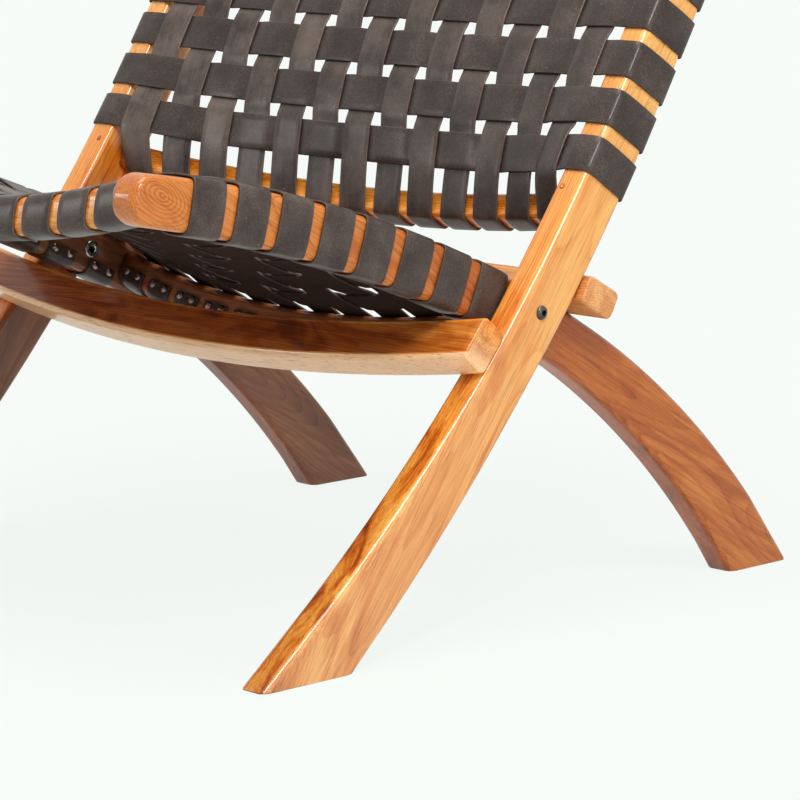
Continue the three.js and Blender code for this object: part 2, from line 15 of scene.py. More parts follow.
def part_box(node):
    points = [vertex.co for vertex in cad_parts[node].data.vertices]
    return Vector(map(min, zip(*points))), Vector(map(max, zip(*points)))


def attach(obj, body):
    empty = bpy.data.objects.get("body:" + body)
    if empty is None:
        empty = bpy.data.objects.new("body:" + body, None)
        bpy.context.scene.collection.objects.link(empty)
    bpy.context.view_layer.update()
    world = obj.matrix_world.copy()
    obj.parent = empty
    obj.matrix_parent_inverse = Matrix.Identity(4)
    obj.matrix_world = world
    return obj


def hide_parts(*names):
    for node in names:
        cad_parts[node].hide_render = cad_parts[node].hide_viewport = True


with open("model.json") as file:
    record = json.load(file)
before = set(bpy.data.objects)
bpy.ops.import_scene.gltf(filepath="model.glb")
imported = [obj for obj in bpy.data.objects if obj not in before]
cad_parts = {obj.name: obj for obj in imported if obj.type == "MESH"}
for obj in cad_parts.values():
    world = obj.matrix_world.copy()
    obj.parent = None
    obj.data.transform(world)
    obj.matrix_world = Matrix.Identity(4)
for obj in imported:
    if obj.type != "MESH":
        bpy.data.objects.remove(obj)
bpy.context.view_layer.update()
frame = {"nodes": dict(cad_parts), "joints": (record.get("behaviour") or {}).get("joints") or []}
bolt_y, bolt_z = frame["joints"][0]["pos_m"][1:]
print("the frames turn on a bolt at y %.4f, z %.4f" % (bolt_y, bolt_z))

# %% [markdown]
# ## Sizes
# What the frame can tell is read from the boxes of its nodes: how far out the planks stand, how thick they
# are and where the bolt is. The curves of the planks and the dish of the weave don't show in a box, so
# their radii and slopes are written here once, as a maker would note them on a drawing.

# %% Sizes from the frame
POST_INNER, POST_OUTER = (corner.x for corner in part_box("back_post_right"))
SEAT_INNER, SEAT_OUTER = (corner.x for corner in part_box("seat_rail_right"))
BAR_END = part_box("stop_bar")[1].x
BACK_COLUMNS, SEAT_COLUMNS, BACK_ROWS, SEAT_ROWS = (
    sum(name.startswith(start) for name in frame["nodes"])
    for start in ("back_upright", "seat_long", "back_cross", "seat_cross"))
print("planks: posts %.0f to %.0f mm, seat rails %.0f to %.0f mm from the middle"
      % tuple(1000 * v for v in (POST_INNER, POST_OUTER, SEAT_INNER, SEAT_OUTER)))

# %% Sizes of the planks
POST_DEPTH, POST_FOOT_DEPTH, POST_RISE = 0.047, 0.058, 0.570
POST_LEAN_DEGREES = 31.3
POST_HEADING = math.radians(90 - POST_LEAN_DEGREES)
POST_STRAIGHT_FROM, POST_SWEEP = 0.189, 1.580
SEAT_DEPTH, SEAT_TIP_DEPTH, SEAT_FOOT_DEPTH = 0.043, 0.037, 0.060
SEAT_REACH, SEAT_TAPER_FROM = 0.389, 0.170
SEAT_HEADING = math.radians(-25)
SEAT_RADIUS, LEG_RADIUS = 1.355, 0.770
FLARE_FROM = 0.075
WOOD_EDGE, TIP_ROUNDING = 0.006, 0.018

# %% Sizes of the rails and bars
BACK_RAIL_DEPTH, BACK_RAIL_WIDTH = 0.022, 0.023
SEAT_END_DEPTH, SEAT_END_WIDTH = 0.0285, 0.027
BACK_RAIL_EDGE, SEAT_END_EDGE = 0.005, 0.008
BACK_BOW, BACK_RAIL_INSET, DISH_FADE, DISH_PULL = 0.035, 0.024, 0.079, 0.012
SEAT_BOW, SEAT_SIDE_LIFT, SEAT_RAIL_INSET = 0.030, 0.009, 0.006
RAIL_FROM_TIP = 0.035
LOWER_RAIL_AT, TOP_RAIL_AT = 0.0995, POST_RISE - RAIL_FROM_TIP
FRONT_RAIL_AT, REAR_RAIL_AT = RAIL_FROM_TIP - SEAT_REACH, 0.050
BAR_WIDTH, BAR_HEIGHT, BAR_EDGE = 0.038, 0.023, 0.005

# %% Sizes of the straps
STRAP_WIDTH, STRAP_THICKNESS, STRAP_TAIL = 0.0305, 0.0020, 0.007
CLEARANCE = 0.00035
STRAP_LIFT = CLEARANCE + STRAP_THICKNESS / 2
WEAVE_STEP = (STRAP_THICKNESS + CLEARANCE) / 2
HALF_FLAT = STRAP_WIDTH / 2 + 2 * CLEARANCE
BACK_SIDE_MARGIN, SEAT_SIDE_MARGIN = 0.008, 0.0085
BACK_RAIL_MARGIN, SEAT_RAIL_MARGIN = 0.0032, 0.0025
BOLT_FRONT_MARGIN, BOLT_REAR_MARGIN = 0.0155, 0.002
BAR_AT = BOLT_REAR_MARGIN + STRAP_WIDTH + CLEARANCE + BAR_WIDTH / 2
print("straps: %d along and %d across the back, %d along and %d across the seat"
      % (BACK_COLUMNS, BACK_ROWS, SEAT_COLUMNS, SEAT_ROWS))

# %% [markdown]
# ## Curves
# Seen from the side, every plank follows a curve made of two arcs, or of an arc and a straight. It could be
# a Bezier curve, but arcs are what a maker draws, and their length is known. So a small class walks along
# such a curve by its length, and a strap or a rail can be placed so many millimetres up the post. A second
# class is the shallow bow of a rail from one side of the chair to the other.


# %% Side curve
class SideLine:
    """Arc before the knee, arc or straight after it; s runs along it, n to the left of its heading."""

    def __init__(self, y, z, heading, knee, bend_before, bend_after):
        self.y, self.z, self.heading, self.knee = y, z, heading, knee
        self.bend_before, self.bend_after = bend_before, bend_after

    def bend(self, s):
        return self.bend_before if s < self.knee else self.bend_after

    def angle(self, s):
        return self.heading + (s - self.knee) * self.bend(s)

    def at(self, s, n=0.0, x=0.0):
        a, bend, run = self.angle(s), self.bend(s), s - self.knee
        dy = (math.sin(a) - math.sin(self.heading)) / bend if bend else run * math.cos(a)
        dz = (math.cos(self.heading) - math.cos(a)) / bend if bend else run * math.sin(a)
        return Vector((x, self.y + dy - n * math.sin(a), self.z + dz + n * math.cos(a)))

    def along(self, s):
        return Vector((0, math.cos(self.angle(s)), math.sin(self.angle(s))))

    def across(self, s):
        return Vector((0, -math.sin(self.angle(s)), math.cos(self.angle(s))))

    def floor(self, bend, n=0.0):
        """The length at which the line n to the left of the curve meets the floor."""
        turned = math.cos(self.heading) + self.z * bend
        a = math.copysign(math.acos(turned / (1 - n * bend)), self.heading)
        return self.knee + (a - self.heading) / bend


# %% Bow of a rail
class Bow:
    """A shallow arc from side to side: level 0 at its ends, lowest in the middle."""

    def __init__(self, half_span, sag):
        self.radius = (half_span**2 + sag**2) / (2 * sag)
        self.centre = self.radius - sag

    def level(self, x, above=0.0):
        return self.centre - math.sqrt((self.radius - above) ** 2 - x**2)

    def slope(self, x):
        return x / math.sqrt(self.radius**2 - x**2)


# %% The seat rail's curve
rail = SideLine(bolt_y, bolt_z, SEAT_HEADING, 0.0, -1 / SEAT_RADIUS, -1 / LEG_RADIUS)
RAIL_FOOT = rail.floor(rail.bend_after)


def flared(depth, foot_depth, s, foot):
    """The depth of a plank that widens towards its foot."""
    share = (s * math.copysign(1, foot) - FLARE_FROM) / (abs(foot) - FLARE_FROM)
    return depth + (foot_depth - depth) * max(share, 0)


def rail_depth(s):
    share = max((-s - SEAT_TAPER_FROM) / (SEAT_REACH - SEAT_TAPER_FROM), 0)
    return flared(SEAT_DEPTH, SEAT_FOOT_DEPTH, s, RAIL_FOOT) - (SEAT_DEPTH - SEAT_TIP_DEPTH) * share


BAR_LIFT = rail_depth(BAR_AT) / 2 + CLEARANCE + BAR_HEIGHT / 2


# %% The post's curve
def make_post_line():
    """The post's rear face meets the rounded front edge of the stop bar, which fixes its curve."""
    turned = SideLine(0, 0, POST_HEADING, POST_STRAIGHT_FROM, 1 / POST_SWEEP, 0)
    bolt = Vector((0, bolt_y, bolt_z))
    edge = rail.at(BAR_AT, BAR_LIFT + BAR_HEIGHT / 2 - BAR_EDGE) - bolt
    edge += rail.along(BAR_AT) * (BAR_EDGE - BAR_WIDTH / 2)
    reach = POST_SWEEP + POST_DEPTH / 2 + CLEARANCE + BAR_EDGE
    square = turned.across(0).dot(edge)
    to_centre = square + math.sqrt(square**2 - edge.length_squared + reach**2)
    knee = bolt + turned.across(0) * to_centre - turned.across(POST_STRAIGHT_FROM) * POST_SWEEP
    return SideLine(knee.y, knee.z, POST_HEADING, POST_STRAIGHT_FROM, 1 / POST_SWEEP, 0)


post = make_post_line()
POST_FOOT = post.floor(post.bend_before)


def post_depth(s):
    return flared(POST_DEPTH, POST_FOOT_DEPTH, s, POST_FOOT)


print("post foot at s %.3f m, rear foot at s %.3f m" % (POST_FOOT, RAIL_FOOT))

# %% [markdown]
# ## Meshes from rings
# Planks, rails and straps are all long things with a rounded cross-section that follows a curve. A bevelled
# curve could make them, but it can't carry numbers for its finish. So each is a loft: a list of rings with
# equally many points, skinned with quads and closed at the ends. Every point carries a few numbers: where
# it lay in the board it was sawn from, or how close it is to the cut edge of a strap.


# %% Skin and mesh
def all_points(rings):
    return [p for ring in rings for p in ring]


def skin(rings, first=0):
    """Quads through the rings, then a face on each end. first is the number of the first point."""
    count = len(rings[0])
    last = first + (len(rings) - 1) * count
    faces = []
    for start in range(first, last, count):
        for j in range(count):
            a, b = start + j, start + (j + 1) % count
            faces.append((a, b, b + count, a + count))
    return faces + [tuple(range(first, first + count))[::-1], tuple(range(last, last + count))]


def new_piece(name, points, faces):
    """A smooth mesh in the scene."""
    mesh = bpy.data.meshes.new(name)
    mesh.from_pydata(points, [], faces)
    mesh.validate()
    mesh.shade_smooth()
    piece = bpy.data.objects.new(name, mesh)
    bpy.context.scene.collection.objects.link(piece)
    return piece


# %% Loft
def signed_volume(points, quads):
    """Six times the volume between the quads and the origin; negative where the quads face inward."""
    corners = ([points[i] for i in quad] for quad in quads)
    return sum(a.dot(b.cross(c)) + a.dot(c.cross(d)) for a, b, c, d in corners)


def loft(name, rings, marks):
    """A closed mesh through the rings. marks maps an attribute's name to its values, point by point."""
    points, faces = all_points(rings), skin(rings)
    piece = new_piece(name, points, faces)
    if signed_volume(points, faces[:-2]) < 0:
        piece.data.flip_normals()
    for key, values in marks.items():
        if isinstance(values[0], Vector):
            attribute = piece.data.attributes.new(key, "FLOAT_VECTOR", "POINT")
            attribute.data.foreach_set("vector", [c for v in values for c in v])
        else:
            attribute = piece.data.attributes.new(key, "FLOAT", "POINT")
            attribute.data.foreach_set("value", values)
    return piece


# %% Rounded cross-section
CORNER_POINTS = 6


def rounded_section(half_u, half_v, radius):
    """A rounded rectangle as (u, v) pairs, with equally many points on each corner."""
    outline = []
    for quarter, (su, sv) in enumerate([(1, 1), (-1, 1), (-1, -1), (1, -1)]):
        for i in range(CORNER_POINTS):
            a = math.pi / 2 * (quarter + i / (CORNER_POINTS - 1))
            outline.append((su * (half_u - radius) + radius * math.cos(a),
                            sv * (half_v - radius) + radius * math.sin(a)))
    return outline


def spread(start, end, step):
    """Numbers from start to end, about a step apart."""
    count = max(1, math.ceil(abs(end - start) / step))
    return [start + (end - start) * i / count for i in range(count + 1)]


print("a ring of wood has", 4 * CORNER_POINTS, "points")

# %% [markdown]
# ## Shader sketching
# A finish is a small formula: some noise, stretched along the grain, mixed into a colour. One class wraps a
# socket so that such formulas read as Python. Arithmetic on it adds Math nodes, and one method makes every
# other node from its type, its settings and what goes into its sockets.


# %% Socket class
class Wire:
    """An output socket in a material's node tree."""

    def __init__(self, tree, socket):
        self.tree, self.socket = tree, socket

    @classmethod
    def node(cls, tree, kind, settings=None, sockets=None, output=0):
        made = tree.nodes.new("ShaderNode" + kind)
        for name, value in (settings or {}).items():
            if name == "stops":
                elements = made.color_ramp.elements
                while len(elements) < len(value):
                    elements.new(0.5)
                for element, (place, colour) in zip(elements, value):
                    element.position, element.color = place, (*colour, 1)
            else:
                setattr(made, name, value)
        for name, value in (sockets or {}).items():
            if isinstance(value, Wire):
                tree.links.new(value.socket, made.inputs[name])
            else:
                made.inputs[name].default_value = value
        return cls(tree, made.outputs[output]) if made.outputs else made

    def math(self, operation, a, b):
        return Wire.node(self.tree, "Math", {"operation": operation}, {0: a, 1: b})

    def __add__(self, other):
        return self.math("ADD", self, other)

    def __sub__(self, other):
        return self.math("SUBTRACT", self, other)

    def __mul__(self, other):
        return self.math("MULTIPLY", self, other)

    def __rsub__(self, other):
        return self.math("SUBTRACT", other, self)

    def __pow__(self, other):
        return self.math("POWER", self, other)

    __radd__ = __add__
    __rmul__ = __mul__


# %% Colours
COLOUR_A, COLOUR_B, COLOUR_RESULT = 6, 7, 2


def srgb(*levels):
    """A colour written as on a screen, 0 to 255, in the linear numbers that the shader wants."""
    values = [level / 255 for level in levels]
    return tuple(v / 12.92 if v <= 0.04045 else ((v + 0.055) / 1.055) ** 2.4 for v in values)


def opaque(colour):
    return colour if isinstance(colour, Wire) else (*colour, 1)


def blend(tree, factor, a, b):
    """Colour a where the factor is 0 and colour b where it is 1."""
    sockets = {0: factor, COLOUR_A: opaque(a), COLOUR_B: opaque(b)}
    return Wire.node(tree, "Mix", {"data_type": "RGBA"}, sockets, output=COLOUR_RESULT)


def ramp(tree, value, stops):
    return Wire.node(tree, "ValToRGB", {"stops": stops}, {0: value})


# %% Materials
def new_finish(name):
    """A material with an empty surface, and its node tree."""
    material = bpy.data.materials.new(name)
    material.use_nodes = True
    material.node_tree.nodes.clear()
    return material, material.node_tree


def finish_surface(tree, sockets):
    """Puts a Principled surface with these socket values on the material's output."""
    surface = Wire.node(tree, "BsdfPrincipled", None, sockets)
    Wire.node(tree, "OutputMaterial", None, {"Surface": surface})


# %% Places
def mark(tree, name, output="Fac"):
    """What each point of a mesh carries under a name."""
    return Wire.node(tree, "Attribute", {"attribute_name": name}, output=output)


def vector_math(tree, operation, a, b):
    return Wire.node(tree, "VectorMath", {"operation": operation}, {0: a, 1: b})


def length(tree, vector):
    return Wire.node(tree, "VectorMath", {"operation": "LENGTH"}, {0: vector}, output="Value")


# %% Noise
def noise(tree, where, scale, detail, roughness, distortion=0.0):
    """Noise from 0 to 1 at a place."""
    return Wire.node(tree, "TexNoise", None, {"Vector": where, "Scale": scale, "Detail": detail,
                                              "Roughness": roughness, "Distortion": distortion})


def cells(tree, where, scale):
    """How far a place is from the middle of its cell."""
    return Wire.node(tree, "TexVoronoi", None, {"Vector": where, "Scale": scale})


def streaks(tree, where, along, across, detail, roughness, distortion=0.0):
    """Noise with so many waves a metre along X, and so many across."""
    stretched = vector_math(tree, "MULTIPLY", where, (along, across, across))
    return noise(tree, stretched, 1.0, detail, roughness, distortion)


def between(tree, value, low, high, start=0.0, end=1.0):
    """The value, carried from one span to another and held inside it."""
    return Wire.node(tree, "MapRange", {"clamp": True},
                     {"Value": value, "From Min": low, "From Max": high, "To Min": start, "To Max": end})


print("shader helpers ready")

# %% [markdown]
# ## Teak
# The wood is teak under a clear glossy finish: amber, with growth rings as fine darker lines, straight
# fibres, short dark pores and a knot here and there. A board is sawn straight and the curve is cut from it,
# so the figure has to run straight through a curved plank. Each mesh therefore carries its place in the
# board, and the rings are circles round a pith line beside that board. A second number, the figure, says how
# smoky and swirled the wood is. In one place, at the tip of the right seat rail, the saw met a swelling, and
# the rings close to an eye of ovals.

# %% Where a point lies in its board
SEAT_GRAIN, SEAT_BOARD = math.radians(-30), Vector((3.0, -0.23, 0))
EYE_FROM_TIP, EYE_ABOVE_MIDDLE = 0.025, 0.005
EYE_SPAN = Vector((0.036, 0.020, 0.030))


def on_board(point, heading, offset):
    """A point as seen by its board: along the board, across it and through it."""
    along = Vector((0, math.cos(heading), math.sin(heading)))
    across = Vector((0, -math.sin(heading), math.cos(heading)))
    return Vector((point.dot(along), point.dot(across), point.x)) + offset


EYE = on_board(rail.at(EYE_FROM_TIP - SEAT_REACH, EYE_ABOVE_MIDDLE, SEAT_OUTER), SEAT_GRAIN, SEAT_BOARD)
print("the eye lies in its board at", tuple(round(v, 3) for v in EYE))

# %% Teak rings
RING_WIDTH, PITH_BESIDE, LATE_WOOD_POWER = 0.0023, 0.085, 3.0
RING_SWAY, KNOT_SWELL, EYE_SWELL = 0.050, 0.016, 0.019


def growth_rings(tree, board, sway, knot, eye):
    """Thin late wood at the end of each year's ring, 0 to 1."""
    y = Wire.node(tree, "SeparateXYZ", None, {0: board}, output="Y")
    z = Wire.node(tree, "SeparateXYZ", None, {0: board}, output="Z") + PITH_BESIDE
    from_pith = (y * y + z * z) ** 0.5 + RING_SWAY * sway + KNOT_SWELL * knot + EYE_SWELL * eye
    years = from_pith * (1 / RING_WIDTH)
    return Wire.node(tree, "Math", {"operation": "FRACT"}, {0: years}) ** LATE_WOOD_POWER


# %% Teak figure
PLAIN_LIGHT, DRIFT_LIGHT, FIBRE_LIGHT = 0.75, 0.9, 0.65
RING_DARK, EYE_DARK, SMOKE_DARK, KNOT_DARK = 0.36, 0.26, 0.62, 0.30


def teak_figure(tree, board, figure):
    """How light the wood is, 0 to 1, and its fibres and pores. The figure is how smoky it is."""
    drift = streaks(tree, board, along=2.2, across=16.0, detail=3.0, roughness=0.5)
    sway = streaks(tree, board, along=3.0, across=14.0, detail=1.0, roughness=0.4)
    fibre = streaks(tree, board, along=4.0, across=600.0, detail=4.0, roughness=0.65)
    pore = streaks(tree, board, along=24.0, across=1100.0, detail=2.0, roughness=0.6)
    smoke = streaks(tree, board, along=9.0, across=40.0, detail=5.0, roughness=0.6, distortion=1.6)
    pore, smoke = between(tree, pore, 0.57, 0.67), between(tree, smoke, 0.44, 0.66)
    knot = cells(tree, vector_math(tree, "MULTIPLY", board, (3.0, 10.0, 10.0)), 1.0)
    knot = between(tree, knot, 0.24, 0.03)
    aside = vector_math(tree, "DIVIDE", vector_math(tree, "SUBTRACT", board, EYE), EYE_SPAN)
    aside = length(tree, aside) + 0.7 * (sway - 0.5) + 0.3 * (drift - 0.5)
    eye = between(tree, aside, 1.0, 0.0)
    late_wood = growth_rings(tree, board, sway, knot, eye)
    light = PLAIN_LIGHT + DRIFT_LIGHT * (drift - 0.5) + FIBRE_LIGHT * (fibre - 0.5)
    light = light - (RING_DARK * sway + EYE_DARK * eye) * late_wood
    return light - SMOKE_DARK * figure * smoke - KNOT_DARK * knot * knot, fibre, pore


# %% [markdown]
# No two boards have one colour. The faces of one board differ too, partly in their own colour and partly
# as painted light and shade. Each colour of the wood is a ramp from its dark rings to its light fibres, and a
# third number, the tone, goes from ramp to ramp. 2 is a pale cream, painted as light bounced up from the
# floor.
# 1 is pale wood, which is painted light on the posts' outer sides. 0 is amber. -1 is deep red-brown
# heartwood, which is painted shade on the stretcher's front. -2 is dull brown: painted shade on inner faces
# under the seat, and the dark joint round a peg. A tone that runs on past -2 stays dull brown and only gets
# there sooner.

# %% Teak colours
AMBER = [(0.05, srgb(112, 34, 0)), (0.35, srgb(202, 94, 14)),
         (0.60, srgb(234, 142, 44)), (0.90, srgb(250, 188, 90))]
# Pale wood, which on the posts' outer sides is painted light.
PALE_AND_LIT = [(0.05, srgb(120, 66, 30)), (0.35, srgb(178, 106, 52)),
        (0.60, srgb(204, 132, 72)), (0.90, srgb(228, 168, 104))]
# Deep heartwood, which on the stretcher's front is painted shade.
DEEP_AND_SHADED = [(0.05, srgb(54, 14, 0)), (0.35, srgb(112, 42, 2)),
        (0.60, srgb(154, 68, 12)), (0.90, srgb(192, 106, 40))]
# Dull brown: painted shade on inner faces under the seat, and the dark joint round a peg.
DULL_AND_SHADED = [(0.05, srgb(66, 40, 27)), (0.60, srgb(132, 89, 64)), (0.90, srgb(162, 116, 87))]
# The first colour here is painted light: a pale cream for light bounced up from the floor onto the
# stretcher's lower edge.
PAINTED_BOUNCE_LIGHT, PORE = srgb(255, 208, 156), srgb(110, 58, 24)
PORE_COVER = 0.5


# %% Teak finish
def make_teak():
    material, tree = new_finish("teak")
    tone = mark(tree, "tone")
    # How deep the tone is: heartwood, and on the stretcher's front painted shade.
    heart_and_shade = between(tree, tone, 0.0, -1.0)
    light, fibre, pore = teak_figure(tree, mark(tree, "board", "Vector"), mark(tree, "figure"))
    colour = blend(tree, between(tree, tone, 0.0, 1.0), ramp(tree, light, AMBER), ramp(tree, light, PALE_AND_LIT))
    colour = blend(tree, heart_and_shade, colour, ramp(tree, light, DEEP_AND_SHADED))
    colour = blend(tree, between(tree, tone, -1.0, -2.0), colour, ramp(tree, light, DULL_AND_SHADED))
    # Tones above 1 are painted light bounced up onto the stretcher's lower edge.
    colour = blend(tree, between(tree, tone, 1.0, 2.0), colour, PAINTED_BOUNCE_LIGHT)
    colour = blend(tree, pore * PORE_COVER, colour, PORE)
    bump = Wire.node(tree, "Bump", None, {"Strength": 0.03, "Distance": 0.0004, "Height": fibre})
    finish_surface(tree, {"Base Color": colour, "Roughness": 0.36 + 0.16 * fibre, "Normal": bump,
                          "Specular IOR Level": 0.2, "Coat Weight": 0.8 - 0.3 * heart_and_shade,
                          "Coat Roughness": 0.16})
    return material


teak = make_teak()
print("teak has", len(teak.node_tree.nodes), "nodes")

# %% [markdown]
# ## Leather
# The straps are smooth dark leather about two millimetres thick. Up close it has a fine pebbled grain, faint
# cloudy patches, a few pale specks, and edges that are paler where the hide was cut. An image could give all
# this, but noise in three dimensions needs no unwrapping and follows the strap round its wraps. Three marks
# steer it: edge is 1 on the cut sides, flesh is 1 on the rough inner side, and the third says how much
# painted sheen lies on the face. That sheen is a lighter, greyer brown where light would glance off, most on
# the straps at the left of the back.

# %% Leather colours
HIDE = [(0.36, srgb(38, 29, 26)), (0.52, srgb(62, 50, 45)), (0.68, srgb(98, 83, 76))]
# The first colour on the next line is painted sheen: a lighter, greyer brown where light glances off.
SHEEN_COLOUR, SPECK, CUT_EDGE, FLESH = srgb(122, 107, 99), srgb(150, 138, 130), srgb(116, 98, 90), srgb(60, 46, 41)
SHEEN_COVER, SPECK_COVER, EDGE_COVER, FLESH_COVER = 0.75, 0.35, 0.6, 0.95


# %% Leather finish
def make_leather():
    material, tree = new_finish("leather")
    place = Wire.node(tree, "TexCoord", output="Object")
    edge, flesh, rub = (mark(tree, name) for name in ("edge", "flesh", "rub"))
    patches = noise(tree, place, scale=28.0, detail=4.0, roughness=0.6)
    grain = noise(tree, place, scale=800.0, detail=3.0, roughness=0.7)
    creases = noise(tree, place, scale=120.0, detail=4.0, roughness=0.7, distortion=1.2)
    strokes = streaks(tree, place, along=420.0, across=45.0, detail=3.0, roughness=0.6)
    specks = between(tree, noise(tree, place, scale=420.0, detail=1.0, roughness=0.4), 0.755, 0.80)
    pebbles = cells(tree, place, 1100.0)
    # Painted sheen, in soft streaks and patches over the marked straps.
    sheen_streaks = rub * between(tree, strokes * 0.25 + patches * 0.75, 0.34, 0.64)
    colour = ramp(tree, patches * 0.4 + grain * 0.6, HIDE)
    colour = blend(tree, sheen_streaks * SHEEN_COVER, colour, SHEEN_COLOUR)
    colour = blend(tree, specks * SPECK_COVER, colour, SPECK)
    colour = blend(tree, between(tree, edge, 0.35, 0.95, 0.0, EDGE_COVER), colour, CUT_EDGE)
    colour = blend(tree, flesh * FLESH_COVER, colour, FLESH)
    height = pebbles * 0.5 + grain * 0.35 + creases * 0.5
    bump = Wire.node(tree, "Bump", None, {"Strength": 0.16, "Distance": 0.0005, "Height": height})
    finish_surface(tree, {"Base Color": colour, "Roughness": 0.50 + 0.2 * patches, "Normal": bump,
                          "Specular IOR Level": 0.0, "Coat Weight": 0.65 * (1 - flesh),
                          "Coat Roughness": 0.30})
    return material


leather = make_leather()
print("leather has", len(leather.node_tree.nodes), "nodes")

# %% [markdown]
# ## Steel
# The bolts, nuts and tacks are plain steel. Tumbled hardware has tiny scratches that spread the highlight,
# so a fine noise drives the roughness. The bolts are dark, the nuts brighter, and the tacks are burnished
# to a warm brown. The mark called recess is 1 inside a hex socket, which is painted black as shade.

# %% Steel finishes
SOCKET_SHADE = srgb(14, 12, 11)


def make_steel(name, dark, light, roughness):
    material, tree = new_finish(name)
    place = Wire.node(tree, "TexCoord", output="Object")
    wear = noise(tree, place, scale=260.0, detail=3.0, roughness=0.6)
    scratch = noise(tree, place, scale=2200.0, detail=2.0, roughness=0.6)
    colour = ramp(tree, wear, [(0.3, dark), (0.7, light)])
    # Inside a hex socket the colour is painted black as shade.
    colour = blend(tree, mark(tree, "recess"), colour, SOCKET_SHADE)
    bump = Wire.node(tree, "Bump", None, {"Strength": 0.08, "Distance": 0.0002, "Height": scratch})
    finish_surface(tree, {"Base Color": colour, "Metallic": 1.0, "Roughness": roughness + 0.15 * scratch,
                          "Normal": bump})
    return material


steel = make_steel("steel", srgb(66, 63, 62), srgb(118, 114, 111), 0.24)
bright_steel = make_steel("bright_steel", srgb(140, 136, 131), srgb(196, 192, 186), 0.20)
burnished = make_steel("burnished_steel", srgb(120, 98, 92), srgb(176, 150, 142), 0.22)
print("steel finishes:", steel.name, bright_steel.name, burnished.name)

# %% [markdown]
# ## Dressing a piece
# A finished mesh still needs its material, the frame that it moves with, and the CAD solid that it stands
# for. Wood also gets weighted normals. Without them a broad flat face would look pillowy, because smooth
# shading lets the small roundings at its edges bend the light all over it.


# %% Dressing a piece
def dress(piece, body, slot, material, *nodes):
    """Gives a piece its finish, its body and the CAD nodes that it stands for."""
    piece.data.materials.append(material)
    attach(piece, body)
    if nodes:
        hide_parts(*nodes)


def make_wood(name, body, rings, marks):
    """A rounded wooden piece, shaded by its large flat faces."""
    piece = loft("dressed_" + name, rings, marks)
    piece.modifiers.new("even_shading", "WEIGHTED_NORMAL").weight = 100
    dress(piece, body, "teak", teak, name)


# %% [markdown]
# ## Planks
# A back post is one curved plank: the upright above and the front leg below. A seat rail is another: the
# seat side in front and the rear leg behind. Both have softly rounded edges, a round tip at one end and a
# foot cut level with the floor at the other. A boolean cut could level the foot, but it would spoil the
# quads. So the rings near the tip shrink along a quarter circle, and the last rings are carried down to the
# floor point by point.

# %% Marks of a plank's faces
BROAD_FROM, BROAD_RISE, TOE_POWER = 0.75, 5, 0.8


def clamp(value):
    return min(max(value, 0), 1)


def face_marks(outline, count, hand, narrow, outer, inner):
    """One value a point. Each kind of face holds its first value to halfway and runs to its second."""
    half = max(u for u, _ in outline)
    values = []
    for i in range(count):
        legward = clamp(2 * i / (count - 1) - 1) ** TOE_POWER
        for u, _ in outline:
            share = clamp((abs(u) / half - BROAD_FROM) * BROAD_RISE)
            tip, toe = (a + (b - a) * share for a, b in zip(narrow, outer if u * hand > 0 else inner))
            values.append(tip + (toe - tip) * legward)
    return values


# %% Rings of a plank
TIP_TURNS = [math.radians(a) for a in (4, 15, 30, 45, 60, 75)]
PLANK_STEP, FOOT_BLEND, SOLE_SOFTENING = 0.012, 0.9, 0.02
FOOT_SHARES = (0.25, 0.625, 0.8125, 0.9775)
SHORT_OF_ROUND = 0.999


def near_tip(half, distance, radius):
    """Half a width or depth, drawn in along a quarter circle near the tip."""
    short = max(radius - distance, 0)
    return half - radius + math.sqrt(max(radius**2 - short**2, 0))


def plank_rings(line, depth_at, half_width, middle_x, tip, foot):
    """Rings along a side curve from a round tip to a foot cut at the floor, and the foot's outline."""
    inward = math.copysign(1, foot - tip)
    places = [(tip + inward * d, d) for d in (TIP_ROUNDING * (1 - math.cos(a)) for a in TIP_TURNS)]
    last = foot - inward * depth_at(foot) * FOOT_BLEND
    places += [(s, TIP_ROUNDING) for s in spread(tip + inward * TIP_ROUNDING, last, PLANK_STEP)]
    rings = []
    for s, distance in places:
        half_depth = near_tip(depth_at(s) / 2, distance, TIP_ROUNDING)
        half = near_tip(half_width, distance, WOOD_EDGE)
        outline = rounded_section(half, half_depth, min(WOOD_EDGE, half_depth, half) * SHORT_OF_ROUND)
        rings.append([line.at(s, n, middle_x + u) for u, n in outline])
    outline = rounded_section(half_width, depth_at(foot) / 2, WOOD_EDGE)
    ground = [line.at(line.floor(line.bend(foot), n), n, middle_x + u) for u, n in outline]
    above = rings[-1]
    rings += [[a.lerp(b, share) for a, b in zip(above, ground)] for share in FOOT_SHARES]
    centre = sum(ground, Vector()) / len(ground)
    rings.append([p.lerp(centre, SOLE_SOFTENING) for p in ground])
    return rings, outline


# %% Post and seat rail
# Tones and figures are given for the narrow faces, the outer and the inner side, each from tip to toe. The
# tones are partly painted light: the inner sides darken to dull brown as painted shade under the seat, and
# the post's outer side is painted pale as light falling from the right.
POST = {
    "line": post, "depth": post_depth, "inner": POST_INNER, "outer": POST_OUTER,
    "tip": POST_RISE, "foot": POST_FOOT, "grain": math.radians(54), "board": Vector((2.0, -0.15, 0)),
    "tones": ((0.45, -0.5), (0.4, 1.0), (0.4, -3.6)),
    "figures": ((0.0, 1.3), (0.0, 0.5), (0.3, 0.3)),
}
SIDE_RAIL = {
    "line": rail, "depth": rail_depth, "inner": SEAT_INNER, "outer": SEAT_OUTER,
    "tip": -SEAT_REACH, "foot": RAIL_FOOT, "grain": SEAT_GRAIN, "board": SEAT_BOARD,
    "tones": ((-0.8, -1.2), (-0.8, -0.75), (-1.8, -1.8)),
    "figures": ((0.2, 0.5), (0.2, 0.3), (0.3, 0.3)),
}


# %% Planks
HANDS = {"left": -1, "right": 1}


